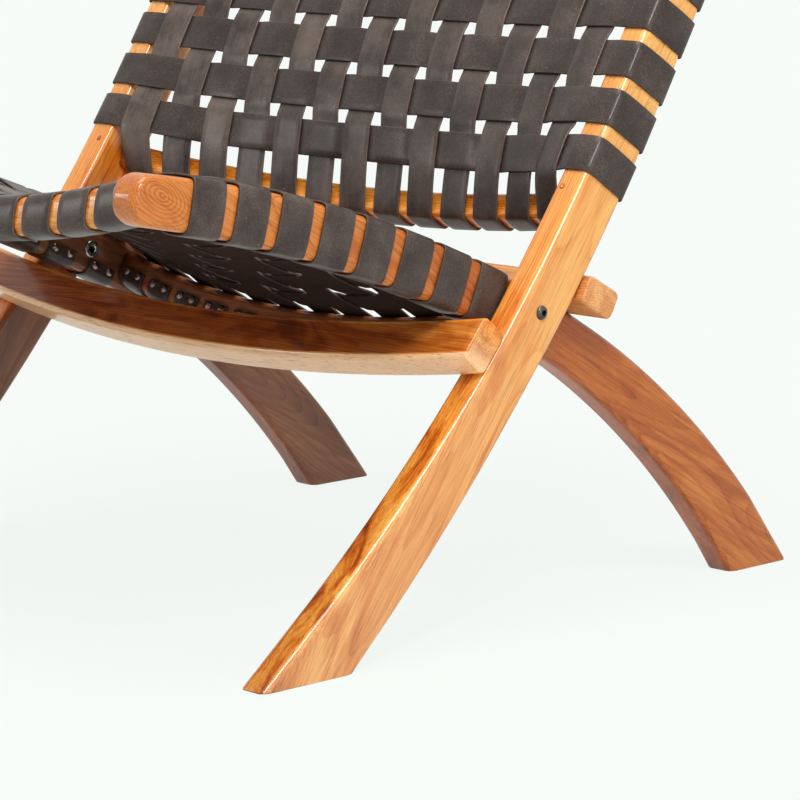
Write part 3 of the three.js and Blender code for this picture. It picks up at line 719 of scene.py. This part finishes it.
def make_plank(name, body, plank, hand):
    inner, outer, board = plank["inner"], plank["outer"], plank["board"]
    rings, outline = plank_rings(plank["line"], plank["depth"], (outer - inner) / 2,
                                 hand * (inner + outer) / 2, plank["tip"], plank["foot"])
    offset = Vector((hand * board.x, board.y, 0))
    make_wood(name, body, rings, {
        "board": [on_board(p, plank["grain"], offset) for p in all_points(rings)],
        "tone": face_marks(outline, len(rings), hand, *plank["tones"]),
        "figure": face_marks(outline, len(rings), hand, *plank["figures"])})


for side, hand in HANDS.items():
    make_plank("back_post_" + side, "back_frame", POST, hand)
    make_plank("seat_rail_" + side, "seat_frame", SIDE_RAIL, hand)
print("planks made:", 2 * len(HANDS))

# %% [markdown]
# ## Woven panels
# The seat and the back are plain weaves. Long straps run along each panel and wrap round its bowed end
# rails, and rows of cross straps wrap round the side planks. The back is dished deeply at its rails and
# almost flat halfway up, because the tight cross straps pull it straight between the posts. The seat follows
# its bowed rails all the way, and is drawn up a little along the sides. Cloth could be draped into such a
# form, but a formula for the middle of the weave keeps every crossing where the CAD has it.

# %% Back weave
DISH_POWER = 6


def back_weave(panel, x, s):
    start, end = panel["ends"]
    low = math.exp((start - BACK_RAIL_WIDTH / 2 - s) / DISH_FADE)
    high = math.exp((s - end - BACK_RAIL_WIDTH / 2) / DISH_FADE)
    aside = x / panel["inner"]
    dish = (BACK_RAIL_INSET - panel["bow"].level(x)) * (1 - aside**DISH_POWER)
    pull = DISH_PULL * (low - high) * (1 - aside**2)
    return post.at(s + pull, POST_DEPTH / 2 + STRAP_LIFT - dish * (low + high), x)


def back_row(j):
    inset = BACK_RAIL_WIDTH / 2 + BACK_RAIL_MARGIN + STRAP_WIDTH / 2
    first, last = LOWER_RAIL_AT + inset, TOP_RAIL_AT - inset
    return first + (last - first) * j / (BACK_ROWS - 1)


# %% Seat weave
LIFT_POWER = 4


def seat_weave(panel, x, s):
    start, end = panel["ends"]
    from_middle = (2 * s - start - end) / (end - start)
    lift = SEAT_SIDE_LIFT * (1 - from_middle**LIFT_POWER) * (x / panel["inner"]) ** 2
    under = panel["rail_top"] + STRAP_LIFT + CLEARANCE + panel["bow"].level(x)
    return rail.at(s, under + WEAVE_STEP + lift, x)


def seat_row(j):
    """All rows but one lie in front of the bolt, evenly; the last lies behind it."""
    first = FRONT_RAIL_AT + SEAT_END_WIDTH / 2 + SEAT_RAIL_MARGIN + STRAP_WIDTH / 2
    last = -BOLT_FRONT_MARGIN - STRAP_WIDTH / 2
    behind = BOLT_REAR_MARGIN + STRAP_WIDTH / 2
    return first + (last - first) * j / (SEAT_ROWS - 2) if j < SEAT_ROWS - 1 else behind


# %% Panels
BACK = {
    "line": post, "inner": POST_INNER, "outer": POST_OUTER, "depth": lambda s: POST_DEPTH,
    "bow": Bow(POST_INNER, BACK_BOW), "rail_top": POST_DEPTH / 2 - BACK_RAIL_INSET, "weave": back_weave,
    "ends": (LOWER_RAIL_AT, TOP_RAIL_AT), "end_depth": BACK_RAIL_DEPTH, "end_width": BACK_RAIL_WIDTH,
    "end_edge": BACK_RAIL_EDGE, "margin": BACK_SIDE_MARGIN, "columns": BACK_COLUMNS, "rows": BACK_ROWS,
    "row_at": back_row, "turns": 2,
}
SEAT = {
    "line": rail, "inner": SEAT_INNER, "outer": SEAT_OUTER,
    "depth": lambda s: rail_depth(s + STRAP_WIDTH / 2),
    "bow": Bow(SEAT_INNER, SEAT_BOW), "rail_top": SEAT_DEPTH / 2 - SEAT_RAIL_INSET, "weave": seat_weave,
    "ends": (FRONT_RAIL_AT, REAR_RAIL_AT), "end_depth": SEAT_END_DEPTH, "end_width": SEAT_END_WIDTH,
    "end_edge": SEAT_END_EDGE, "margin": SEAT_SIDE_MARGIN, "columns": SEAT_COLUMNS, "rows": SEAT_ROWS,
    "row_at": seat_row, "turns": 3,
}

# %% Crossings
NUDGE = 0.0005


def column_at(panel, k):
    last = panel["inner"] - panel["margin"] - STRAP_WIDTH / 2
    return last * (2 * k / (panel["columns"] - 1) - 1)


def weave_frame(panel, x, s):
    """The middle of the weave at one crossing, with its sideways, lengthways and outward directions."""
    weave = panel["weave"]
    side = (weave(panel, x + NUDGE, s) - weave(panel, x - NUDGE, s)).normalized()
    along = (weave(panel, x, s + NUDGE) - weave(panel, x, s - NUDGE)).normalized()
    return weave(panel, x, s), side, along, side.cross(along).normalized()


print("the back's middle crossing faces", tuple(
    round(v, 2) for v in weave_frame(BACK, 0.0, back_row(BACK_ROWS // 2))[3]))

# %% [markdown]
# ## Straps
# A strap is first a row of stations: a point in the middle of the leather, the direction across the strap
# and the direction out of it. At each crossing it has a flat stretch over or under its neighbour, and at its
# ends it bends round wood. Cutting the corners of that row a few times gives the smooth run of real leather,
# and unlike a subdivided mesh it keeps the strap's width and thickness.


# %% Strap stations
def flat_stations(crossing, run, width, over):
    middle, normal = crossing[0] + crossing[3] * (over * WEAVE_STEP), crossing[3]
    return [(middle + run * d, width, normal) for d in (-HALF_FLAT, 0.0, HALF_FLAT)]


def on_corner(plane, centre, angle, reach):
    """A station off a corner's centre in a plane (origin, outwards, up, width); 0 faces outwards."""
    origin, out, up, width = plane
    normal = out * math.cos(angle) + up * math.sin(angle)
    return origin + out * centre[0] + up * centre[1] + normal * reach, width, normal


# %% Bends round wood
QUARTER = math.pi / 2
TAIL_FROM = 0.35


def leaving_angle(plane, centre, radius, start):
    """Where on a corner a strap that comes straight from start begins to bend."""
    origin, out, up, _ = plane
    du, dv = (start - origin).dot(out) - centre[0], (start - origin).dot(up) - centre[1]
    return math.atan2(dv, du) - math.acos(min(radius / math.hypot(du, dv), 1))


def wrap_stations(plane, centres, radius, first_turn=QUARTER):
    """Bends round the given corner centres, then a flat tail."""
    _, out, up, _ = plane
    stations = []
    for i, centre in enumerate(centres):
        turn = QUARTER if i else first_turn
        reach = radius / math.cos(turn / 4)
        stations += [on_corner(plane, centre, left * turn - i * QUARTER, reach) for left in (0.75, 0.25)]
    last = (1 - len(centres)) * QUARTER
    start, width, normal = on_corner(plane, centres[-1], last, radius)
    onward = out * math.sin(last) - up * math.cos(last)
    return stations + [(start + onward * d, width, normal) for d in (STRAP_TAIL * TAIL_FROM, STRAP_TAIL)]


# %% Strap ends
def side_end(panel, j, hand, last_flat):
    """A cross strap's end: up over the plank's inner edge, then round the plank."""
    s, line = panel["row_at"](j), panel["line"]
    plane = line.at(s), Vector((hand, 0, 0)), line.across(s), line.along(s)
    inner_u, outer_u = panel["inner"] + WOOD_EDGE, panel["outer"] - WOOD_EDGE
    edge_v, radius = panel["depth"](s) / 2 - WOOD_EDGE, WOOD_EDGE + STRAP_LIFT
    leaving = leaving_angle(plane, (inner_u, edge_v), radius, last_flat)
    reach = radius / math.cos((leaving - QUARTER) / 4)
    entry = [on_corner(plane, (inner_u, edge_v), leaving + (QUARTER - leaving) * share, reach)
             for share in (0.25, 0.75)]
    centres = [(outer_u, edge_v), (outer_u, -edge_v), (inner_u, -edge_v)][:panel["turns"]]
    return entry + wrap_stations(plane, centres, radius)


def rail_end(panel, k, hand, last_flat):
    """A length strap's end: straight to the end rail's first rounding, then round the rail."""
    s, x, line, bow = panel["ends"][hand > 0], column_at(panel, k), panel["line"], panel["bow"]
    up, edge = line.across(s), panel["end_edge"]
    width = (Vector((1, 0, 0)) + up * bow.slope(x)).normalized()
    plane = line.at(s, panel["rail_top"] + bow.level(x), x), line.along(s) * hand, up, width
    half, near, radius = panel["end_width"] / 2 - edge, -edge, edge + STRAP_LIFT
    far = bow.level(x, -panel["end_depth"]) - bow.level(x) + edge
    leaving = leaving_angle(plane, (half, near), radius, last_flat)
    centres = [(half, near), (half, far), (-half, far)][:panel["turns"]]
    return wrap_stations(plane, centres, radius, leaving)


# %% Runs of the two kinds of strap
def cross_run(panel, j):
    run = []
    for k in range(panel["columns"]):
        crossing = weave_frame(panel, column_at(panel, k), panel["row_at"](j))
        run += flat_stations(crossing, crossing[1], crossing[2], 1 if (k + j) % 2 else -1)
    left, right = side_end(panel, j, -1, run[0][0]), side_end(panel, j, 1, run[-1][0])
    return left[::-1] + run + right


def length_run(panel, k):
    run = []
    for j in range(panel["rows"]):
        crossing = weave_frame(panel, column_at(panel, k), panel["row_at"](j))
        run += flat_stations(crossing, crossing[2], crossing[1], -1 if (k + j) % 2 else 1)
    first, last = rail_end(panel, k, -1, run[0][0]), rail_end(panel, k, 1, run[-1][0])
    return first[::-1] + run + last


# %% Corner cutting
def cut_corners(run):
    """One round of corner cutting on a row of stations; its ends stay."""
    mixed = [run[0]]
    for (p, w, n), (q, v, m) in zip(run, run[1:]):
        for share in (0.25, 0.75):
            width, normal = w.lerp(v, share).normalized(), n.lerp(m, share).normalized()
            mixed.append((p.lerp(q, share), width, normal))
    return mixed + [run[-1]]


# %% Strap cross-section
STRAP_SOFTENING = 0.0007


def strap_section():
    """Points round a strap as (across, out, edge mark, flesh mark)."""
    half, thick, soft = STRAP_WIDTH / 2, STRAP_THICKNESS / 2, STRAP_SOFTENING
    top = [(half * a, thick, 0.0, 0.0) for a in (0.55, 0.0, -0.55)]
    corner = [(half - soft, thick, 0.1, 0.0), (half - soft * 0.25, thick * 0.72, 0.8, 0.0),
              (half, 0.0, 1.0, 0.2),
              (half - soft * 0.25, -thick * 0.72, 0.8, 0.6), (half - soft, -thick, 0.1, 1.0)]
    bottom = [(-a, -b, edge, 1.0) for a, b, edge, _ in top]
    other = [(-a, -b, edge, 1.0 - flesh) for a, b, edge, flesh in corner]
    return corner[::-1] + top + other[::-1] + bottom


SECTION = strap_section()
print("a ring of strap has", len(SECTION), "points")

# %% Strap mesh
CORNER_CUTS = 2


def make_strap(name, body, run, rub):
    for _ in range(CORNER_CUTS):
        run = cut_corners(run)
    rings = [[p + w * a + n * b for a, b, _, _ in SECTION] for p, w, n in run]
    ends = (0, len(rings) - 1)
    marks = {"edge": [1.0 if i in ends else edge for i in range(len(rings)) for _, _, edge, _ in SECTION],
             "flesh": [0.0 if i in ends else flesh for i in range(len(rings)) for _, _, _, flesh in SECTION],
             "rub": [rub] * (len(rings) * len(SECTION))}
    dress(loft("dressed_" + name, rings, marks), body, "leather", leather, name)


# %% All straps
# Painted sheen: strongest on the straps at the left of the back, fading to the right, faint on the seat.
LEFT_SHEEN, SHEEN_FADE, SEAT_SHEEN = 0.9, 0.065, 0.2
for k in range(BACK_COLUMNS):
    rub = LEFT_SHEEN - SHEEN_FADE * k
    make_strap("back_upright_strap_%02d" % (k + 1), "back_frame", length_run(BACK, k), rub)
for k in range(SEAT_COLUMNS):
    make_strap("seat_long_strap_%02d" % (k + 1), "seat_frame", length_run(SEAT, k), SEAT_SHEEN)
for j in range(BACK_ROWS):
    make_strap("back_cross_strap_%02d" % (j + 1), "back_frame", cross_run(BACK, j), 0.0)
for j in range(SEAT_ROWS):
    make_strap("seat_cross_strap_%02d" % (j + 1), "seat_frame", cross_run(SEAT, j), SEAT_SHEEN)
STRAPS = BACK_COLUMNS + SEAT_COLUMNS + BACK_ROWS + SEAT_ROWS
print("straps made:", STRAPS)

# %% [markdown]
# ## Rails, stretcher and stop bar
# Four bowed rails hold the long straps: two between the posts and two between the seat rails. A bowed
# stretcher is lapped on the front of the legs, and a straight bar lies across the seat rails behind the
# weave, where the posts lean on it. A box with a bevel and a bend could be any of them. Lofts are used
# again, with rings along the bow, because they carry the marks of the wood.


# %% Marks of a crosswise board
def cross_board_marks(rings, offset, tone, figure):
    """Marks for a piece that runs from side to side."""
    points = all_points(rings)
    return {"board": [p + Vector(offset) for p in points],
            "tone": [tone] * len(points), "figure": [figure] * len(points)}


# %% Bowed end rails
RAIL_STEP, RAIL_FIGURE = 0.015, 0.3


def end_rail_ring(panel, s, x):
    line, depth = panel["line"], panel["end_depth"]
    ring = []
    for p, q in rounded_section(panel["end_width"] / 2, depth / 2, panel["end_edge"]):
        level = panel["rail_top"] + panel["bow"].level(x, q - depth / 2)
        ring.append(line.at(s, level, x) + line.along(s) * p)
    return ring


def make_end_rail(name, body, panel, s, offset, tone):
    end = panel["inner"] - CLEARANCE
    rings = [end_rail_ring(panel, s, x) for x in spread(-end, end, RAIL_STEP)]
    make_wood(name, body, rings, cross_board_marks(rings, offset, tone, RAIL_FIGURE))


make_end_rail("back_lower_rail", "back_frame", BACK, LOWER_RAIL_AT, (0.3, 0, 0.5), tone=0.0)
make_end_rail("back_top_rail", "back_frame", BACK, TOP_RAIL_AT, (0.7, 0, 0.2), tone=0.0)
make_end_rail("seat_front_rail", "seat_frame", SEAT, FRONT_RAIL_AT, (1.3, 0, 0.4), tone=-0.5)
# The rear seat rail, under the weave, is painted dull brown as shade.
make_end_rail("seat_rear_rail", "seat_frame", SEAT, REAR_RAIL_AT, (1.9, 0, 0.1), tone=-1.5)
print("end rails made: 4")


# %% Rings with softened ends
def softened_rings(ring_at, end, softening, start, step):
    """Rings from side to side, full from start on; pairs of distance and inset draw the ends in."""
    return ([ring_at(d - end, inset) for d, inset in softening]
            + [ring_at(x, 0.0) for x in spread(start - end, end - start, step)]
            + [ring_at(end - d, inset) for d, inset in softening[::-1]])


# %% Stretcher sizes and painted light
STRETCHER_WIDTH, STRETCHER_DEPTH, STRETCHER_EDGE = 0.036, 0.027, 0.005
STRETCHER_DROP, STRETCHER_BOW = 0.0535, 0.028
STRETCHER_STEP, STRETCHER_SOFTENING = 0.012, [(0.0, 0.0016), (0.0005, 0.0006)]
LAP_REACH, LAP_ROOM = 0.65, 0.00025
# The tones here are painted light and shade. The front is painted dark as the seat's shadow, and lighter
# where that shadow ends at the right. The edges are painted light, the lower one as light bounced up from the
# floor.
LOWER_EDGE_BOUNCE_LIGHT, UPPER_EDGE_LIGHT, FRONT_SHADE, SHADE_LIFT_TO_RIGHT, SHADE_LIFT_POWER = 1.7, -0.1, -0.95, 0.35, 4


def stretcher_painted_light(x, p):
    """Painted shade in front that lifts to the right, painted light on both edges."""
    if p < STRETCHER_EDGE - STRETCHER_WIDTH / 2:
        return LOWER_EDGE_BOUNCE_LIGHT
    if p > STRETCHER_WIDTH / 2 - STRETCHER_EDGE:
        return UPPER_EDGE_LIGHT
    return FRONT_SHADE + SHADE_LIFT_TO_RIGHT * max(x / POST_OUTER, 0) ** SHADE_LIFT_POWER


# %% Stretcher
def make_stretcher():
    bow, along = Bow(POST_OUTER, STRETCHER_BOW), post.along(-STRETCHER_DROP)
    half_width, half_depth = STRETCHER_WIDTH / 2, STRETCHER_DEPTH / 2
    hollow = (LAP_REACH * STRETCHER_WIDTH) ** 2 / (2 * POST_SWEEP) + LAP_ROOM
    front = post_depth(-STRETCHER_DROP) / 2 + hollow + CLEARANCE + half_depth

    def ring_at(x, inset):
        outline = rounded_section(half_width - inset, half_depth - inset, STRETCHER_EDGE - inset)
        return [post.at(-STRETCHER_DROP, front + q, x) + along * bow.level(x, p) for p, q in outline]

    full_from = STRETCHER_SOFTENING[0][1]
    rings = softened_rings(ring_at, POST_OUTER, STRETCHER_SOFTENING, full_from, STRETCHER_STEP)
    marks = cross_board_marks(rings, (0.15, 0.3, 0.0), tone=0.0, figure=0.6)
    section = rounded_section(half_width, half_depth, STRETCHER_EDGE)
    marks["tone"] = [stretcher_painted_light(ring[0].x, p) for ring in rings for p, _ in section]
    make_wood("front_stretcher", "back_frame", rings, marks)


make_stretcher()
print("stretcher made, bowed by %.0f mm" % (1000 * STRETCHER_BOW))

# %% Stop bar
BAR_STEP, BAR_FULL_FROM = 0.02, 0.01
BAR_SOFTENING = [(0.0, 0.0022), (0.0006, 0.0010), (0.0020, 0.0)]


def bar_ring(x, inset):
    outline = rounded_section(BAR_WIDTH / 2 - inset, BAR_HEIGHT / 2 - inset, BAR_EDGE - inset * 0.5)
    return [rail.at(BAR_AT, BAR_LIFT + q, x) + rail.along(BAR_AT) * p for p, q in outline]


bar_rings = softened_rings(bar_ring, BAR_END, BAR_SOFTENING, BAR_FULL_FROM, BAR_STEP)
bar_marks = cross_board_marks(bar_rings, (2.6, 0.1, 0.3), tone=0.9, figure=0.4)
make_wood("stop_bar", "seat_frame", bar_rings, bar_marks)
print("stop bar made, %.0f mm long" % (2000 * BAR_END))

# %% [markdown]
# ## Hardware
# Each side has a bolt with a button head and a hex socket, screwed into a sleeve nut from the inside. Round
# things are turned: a profile of radius and height is swept round an axis. A Screw modifier does that too,
# but here a radius may change with the angle, so that the hex socket is a six-sided ring in a round head.


# %% Turned pieces
def turned_rings(centre, axis, side, profile, sides):
    """Rings round an axis from (radius, height) pairs. A radius may be a function of the angle."""
    other = axis.cross(side)
    rings = []
    for radius, height in profile:
        ring = []
        for i in range(sides):
            a = 2 * math.pi * i / sides
            r = radius(a) if callable(radius) else radius
            ring.append(centre + axis * height + (side * math.cos(a) + other * math.sin(a)) * r)
        rings.append(ring)
    return rings


def dome(radius, height, degrees):
    """The profile of a domed head, from its rim upwards."""
    return [(radius * math.cos(math.radians(a)), height * math.sin(math.radians(a))) for a in degrees]


# %% Hex socket
SOCKET_FLARE, SOCKET_CHAMFER, SOCKET_DIMPLE, SOCKET_TIP = 1.06, 0.0003, 0.0002, 0.0004
SOCKET_RINGS, ROUND_SIDES = 3, 48
UPWARD = Vector((0, 0, 1))


def hexagon(across):
    """The radius of a hexagonal socket, by angle."""
    return lambda a: across / 2 / math.cos((a + math.pi / 6) % (math.pi / 3) - math.pi / 6)


def socket(across, rim, floor):
    """The profile of a hex socket, from its rim down to the middle of its floor."""
    return [(hexagon(across * SOCKET_FLARE), rim), (hexagon(across), rim - SOCKET_CHAMFER),
            (hexagon(across), floor), (SOCKET_TIP, floor - SOCKET_DIMPLE)]


def make_socket_piece(name, finish, axis, seat_x, profile):
    """Turned steel on the bolt's line; the rings inside its hex socket are painted dark as shade."""
    rings = turned_rings(Vector((seat_x, bolt_y, bolt_z)), axis, UPWARD, profile, ROUND_SIDES)
    marks = {"recess": [float(i >= len(rings) - SOCKET_RINGS) for i, ring in enumerate(rings) for _ in ring]}
    dress(loft("dressed_" + name, rings, marks), "back_frame", "steel", finish, name)


# %% Bolts and nuts
BOLT_HEAD, BOLT_HEIGHT, BOLT_SOCKET, BOLT_SOCKET_FLOOR = 0.0055, 0.003, 0.0042, 0.0006
BOLT_SHANK, BOLT_SHANK_DEPTH = 0.003, 0.0015
NUT_FLANGE, NUT_HEIGHT, NUT_SOCKET, NUT_SOCKET_FLOOR = 0.0075, 0.0018, 0.0048, 0.0002
NUT_SLEEVE, NUT_SLEEVE_DEPTH = 0.0042, 0.004
# The flange's rim: how far it is drawn in at each share of its height.
NUT_RIM = ((0.0, 0.0), (0.0, 0.45), (0.0004, 0.8), (0.0012, 1.0))

bolt_dome = dome(BOLT_HEAD, BOLT_HEIGHT, (0, 12, 25, 38, 50, 60))
bolt_profile = [(BOLT_SHANK, -BOLT_SHANK_DEPTH)] + bolt_dome
bolt_profile += socket(BOLT_SOCKET, bolt_dome[-1][1], BOLT_SOCKET_FLOOR)
nut_profile = [(NUT_SLEEVE, -NUT_SLEEVE_DEPTH), (NUT_SLEEVE, 0.0)]
nut_profile += [(NUT_FLANGE - inset, NUT_HEIGHT * share) for inset, share in NUT_RIM]
nut_profile += socket(NUT_SOCKET, NUT_HEIGHT, NUT_SOCKET_FLOOR)

for side, hand in HANDS.items():
    outward = Vector((hand, 0, 0))
    bolt_x, nut_x = hand * (POST_OUTER + CLEARANCE), hand * (SEAT_INNER - CLEARANCE)
    make_socket_piece("pivot_bolt_" + side, steel, outward, bolt_x, bolt_profile)
    make_socket_piece("pivot_nut_" + side, bright_steel, -outward, nut_x, nut_profile)
print("bolts and nuts made: 2 of each")

# %% [markdown]
# ## Pegs
# Each tenon of a back rail is locked by a round wooden peg through the post. From the front only its end
# shows: a small disc of end grain that stands a hair proud of the post, with a dark joint round it. It could
# be painted on the post, but a real edge catches the light. So it is turned like the bolts, and its rim gets
# the dullest tone of the wood.

# %% Pegs
PEG_RADIUS, PEG_PROUD, PEG_DEPTH, PEG_FROM_EDGE, PEG_SIDES = 0.0025, 0.0004, 0.004, 0.0085, 20
PEG_PROFILE = [(PEG_RADIUS, -PEG_DEPTH), (PEG_RADIUS, PEG_PROUD * 0.5), (PEG_RADIUS * 0.86, PEG_PROUD),
               (PEG_RADIUS * 0.5, PEG_PROUD), (PEG_RADIUS * 0.1, PEG_PROUD)]
PEG_TONES = (-2.0, -2.0, -1.5, -0.4, -0.4)


def make_peg(name, hand, s):
    centre = post.at(s, POST_DEPTH / 2, hand * (POST_INNER + PEG_FROM_EDGE))
    rings = turned_rings(centre, post.across(s), post.along(s), PEG_PROFILE, PEG_SIDES)
    marks = cross_board_marks(rings, (0.4, 0.2, s), tone=0.0, figure=0.6)
    marks["tone"] = [tone for tone in PEG_TONES for _ in range(PEG_SIDES)]
    dress(loft(name, rings, marks), "back_frame", "teak", teak)


for side, hand in HANDS.items():
    make_peg("lower_rail_peg_" + side, hand, LOWER_RAIL_AT)
    make_peg("top_rail_peg_" + side, hand, TOP_RAIL_AT)
print("pegs made:", 2 * len(HANDS))

# %% [markdown]
# ## Tacks
# Two dome-headed tacks go through each strap end, side by side. A strap's last station tells where its tail
# lies and which way it faces, so the tacks are set from the same runs as the straps. Instances of one tack
# would do too, but each would be a piece to dress. So all the tacks in one plank or rail are one mesh.

# %% The two tacks of a strap end
TACK_RADIUS, TACK_HEIGHT, TACK_SPREAD, TACK_SUNK, TACK_SIDES = 0.0037, 0.0022, 0.0085, 0.0001, 16
TACK_FROM_END = 0.75
TACK_DOME = dome(TACK_RADIUS, TACK_HEIGHT, (0, 20, 40, 58, 74, 86))


def tack_rings(tail):
    """The dome rings of the two tacks in a strap's tail."""
    (before, _, _), (end, width, normal) = tail
    middle = end.lerp(before, TACK_FROM_END) + normal * (STRAP_THICKNESS / 2 - TACK_SUNK)
    return [turned_rings(middle + width * (d * TACK_SPREAD), normal, width, TACK_DOME, TACK_SIDES)
            for d in (-1, 1)]


# %% Tack rows
def make_tacks(name, body, tails):
    points, faces = [], []
    for rings in (rings for tail in tails for rings in tack_rings(tail)):
        faces += skin(rings, len(points))
        points += all_points(rings)
    dress(new_piece(name, points, faces), body, "steel", burnished)


def tails_of(runs):
    """The tails at the first and at the last end of each run."""
    return [(run[1], run[0]) for run in runs], [(run[-2], run[-1]) for run in runs]


for body, panel, planks, rails in (
        ("back_frame", BACK, "back_post", ("back_lower_rail", "back_top_rail")),
        ("seat_frame", SEAT, "seat_rail", ("seat_front_rail", "seat_rear_rail"))):
    left, right = tails_of([cross_run(panel, j) for j in range(panel["rows"])])
    first, last = tails_of([length_run(panel, k) for k in range(panel["columns"])])
    make_tacks(planks + "_left_tacks", body, left)
    make_tacks(planks + "_right_tacks", body, right)
    make_tacks(rails[0] + "_tacks", body, first)
    make_tacks(rails[1] + "_tacks", body, last)
print("tacks made:", 4 * STRAPS)

# %% [markdown]
# ## Camera
# The camera stands to the right of the chair's front, a little above the seat, with a long lens, as in the
# photograph. A Track To constraint could aim it, but the aim is known as two angles, so its three directions
# are worked out and set as a matrix.

# %% Camera
CAMERA_AT = Vector((2.0145, bolt_y - 1.7990, 0.6040))
CAMERA_AZIMUTH, CAMERA_ELEVATION = math.radians(46.09), math.radians(9.70)
LENS_MM, SENSOR_MM = 149.13, 36.0
right_way = Vector((math.cos(CAMERA_AZIMUTH), math.sin(CAMERA_AZIMUTH), 0))
back_way = Vector((math.sin(CAMERA_AZIMUTH) * math.cos(CAMERA_ELEVATION),
                   -math.cos(CAMERA_AZIMUTH) * math.cos(CAMERA_ELEVATION), math.sin(CAMERA_ELEVATION)))
up_way = back_way.cross(right_way)
turned = Matrix((right_way, up_way, back_way)).transposed().to_4x4()
camera = bpy.data.objects.new("camera", bpy.data.cameras.new("camera"))
camera.data.lens, camera.data.sensor_width = LENS_MM, SENSOR_MM
camera.matrix_world = Matrix.Translation(CAMERA_AT) @ turned
bpy.context.scene.collection.objects.link(camera)
bpy.context.scene.camera = camera
print("camera", tuple(round(v, 3) for v in camera.location))

# %% [markdown]
# ## Floor
# The photograph is a cut-out on a very pale ground. The floor is a wide sheet in the same colour that still
# takes the chair's shadow: the camera and glossy rays see mostly the plain ground colour, and a little of a
# lit sheet of paper near the chair. More light would whiten the ground too, but it would bleach the wood.

# %% Floor
BACKDROP, PAPER = srgb(246, 251, 247), srgb(240, 244, 241)
FLOOR_HALF = 40.0
SHADOW_FULL_TO, SHADOW_GONE_FROM, GROUND_NEAR_CHAIR = 0.40, 0.90, 0.92


def make_floor():
    """A wide pale sheet. The camera sees it mostly at the backdrop's own colour, with a faint shadow."""
    corners = [(a * FLOOR_HALF, b * FLOOR_HALF, 0) for a, b in ((-1, -1), (1, -1), (1, 1), (-1, 1))]
    floor = new_piece("floor", corners, [(0, 1, 2, 3)])
    material, tree = new_finish("pale_floor")
    away = length(tree, Wire.node(tree, "TexCoord", output="Object"))
    paper = Wire.node(tree, "BsdfDiffuse", None, {"Color": opaque(PAPER)})
    glow = Wire.node(tree, "Emission", None, {"Color": opaque(BACKDROP), "Strength": 1.0})
    camera_ray, glossy_ray = (Wire.node(tree, "LightPath", output=name)
                              for name in ("Is Camera Ray", "Is Glossy Ray"))
    clean = between(tree, away, SHADOW_FULL_TO, SHADOW_GONE_FROM, GROUND_NEAR_CHAIR, 1.0)
    both = Wire.node(tree, "MixShader", None, {0: (camera_ray + glossy_ray) * clean, 1: paper, 2: glow})
    Wire.node(tree, "OutputMaterial", None, {"Surface": both})
    floor.data.materials.append(material)


make_floor()
print("floor made, %.0f m wide" % (2 * FLOOR_HALF))

# %% [markdown]
# ## Light
# Large soft lamps light the chair from above and from the right, as in the photograph, and a small low one
# picks out the tip of the seat and the front straps. The world adds an even, gentle light. Where the camera,
# a mirror or glass looks past the floor, the world shows the ground's colour.

# %% World
SKY, SKY_STRENGTH = srgb(250, 250, 252), 0.40


def make_world():
    world = bpy.data.worlds.new("studio")
    world.use_nodes = True
    tree = world.node_tree
    tree.nodes.clear()
    camera_ray, glossy_ray, glass_ray = (Wire.node(tree, "LightPath", output=name) for name in (
        "Is Camera Ray", "Is Glossy Ray", "Is Transmission Ray"))
    seen = between(tree, camera_ray + glossy_ray + glass_ray, 0.0, 1.0)
    pale = Wire.node(tree, "Background", None, {"Color": opaque(BACKDROP), "Strength": 1.0})
    soft = Wire.node(tree, "Background", None, {"Color": opaque(SKY), "Strength": SKY_STRENGTH})
    both = Wire.node(tree, "MixShader", None, {0: seen, 1: soft, 2: pale})
    Wire.node(tree, "OutputWorld", None, {"Surface": both})
    bpy.context.scene.world = world


make_world()
print("world:", bpy.context.scene.world.name)

# %% Lamps
CHAIR_MIDDLE = Vector((0.0, 0.0, 0.35))


def make_lamp(name, place, size, watts):
    """A square soft lamp that looks at the middle of the chair."""
    data = bpy.data.lights.new(name, "AREA")
    data.shape, data.size, data.energy = "SQUARE", size, watts
    lamp = bpy.data.objects.new(name, data)
    lamp.location = place
    lamp.rotation_euler = (CHAIR_MIDDLE - Vector(place)).to_track_quat("-Z", "Y").to_euler()
    bpy.context.scene.collection.objects.link(lamp)


make_lamp("top_lamp", (0.1, -0.2, 2.8), size=1.5, watts=42)
make_lamp("key_lamp", (1.30, -0.86, 1.85), size=0.6, watts=28)
make_lamp("side_lamp", (2.6, -0.2, 0.9), size=1.2, watts=10)
make_lamp("low_lamp", (-1.45, -1.65, 0.75), size=0.3, watts=3)
bpy.context.scene.view_settings.view_transform = "Standard"
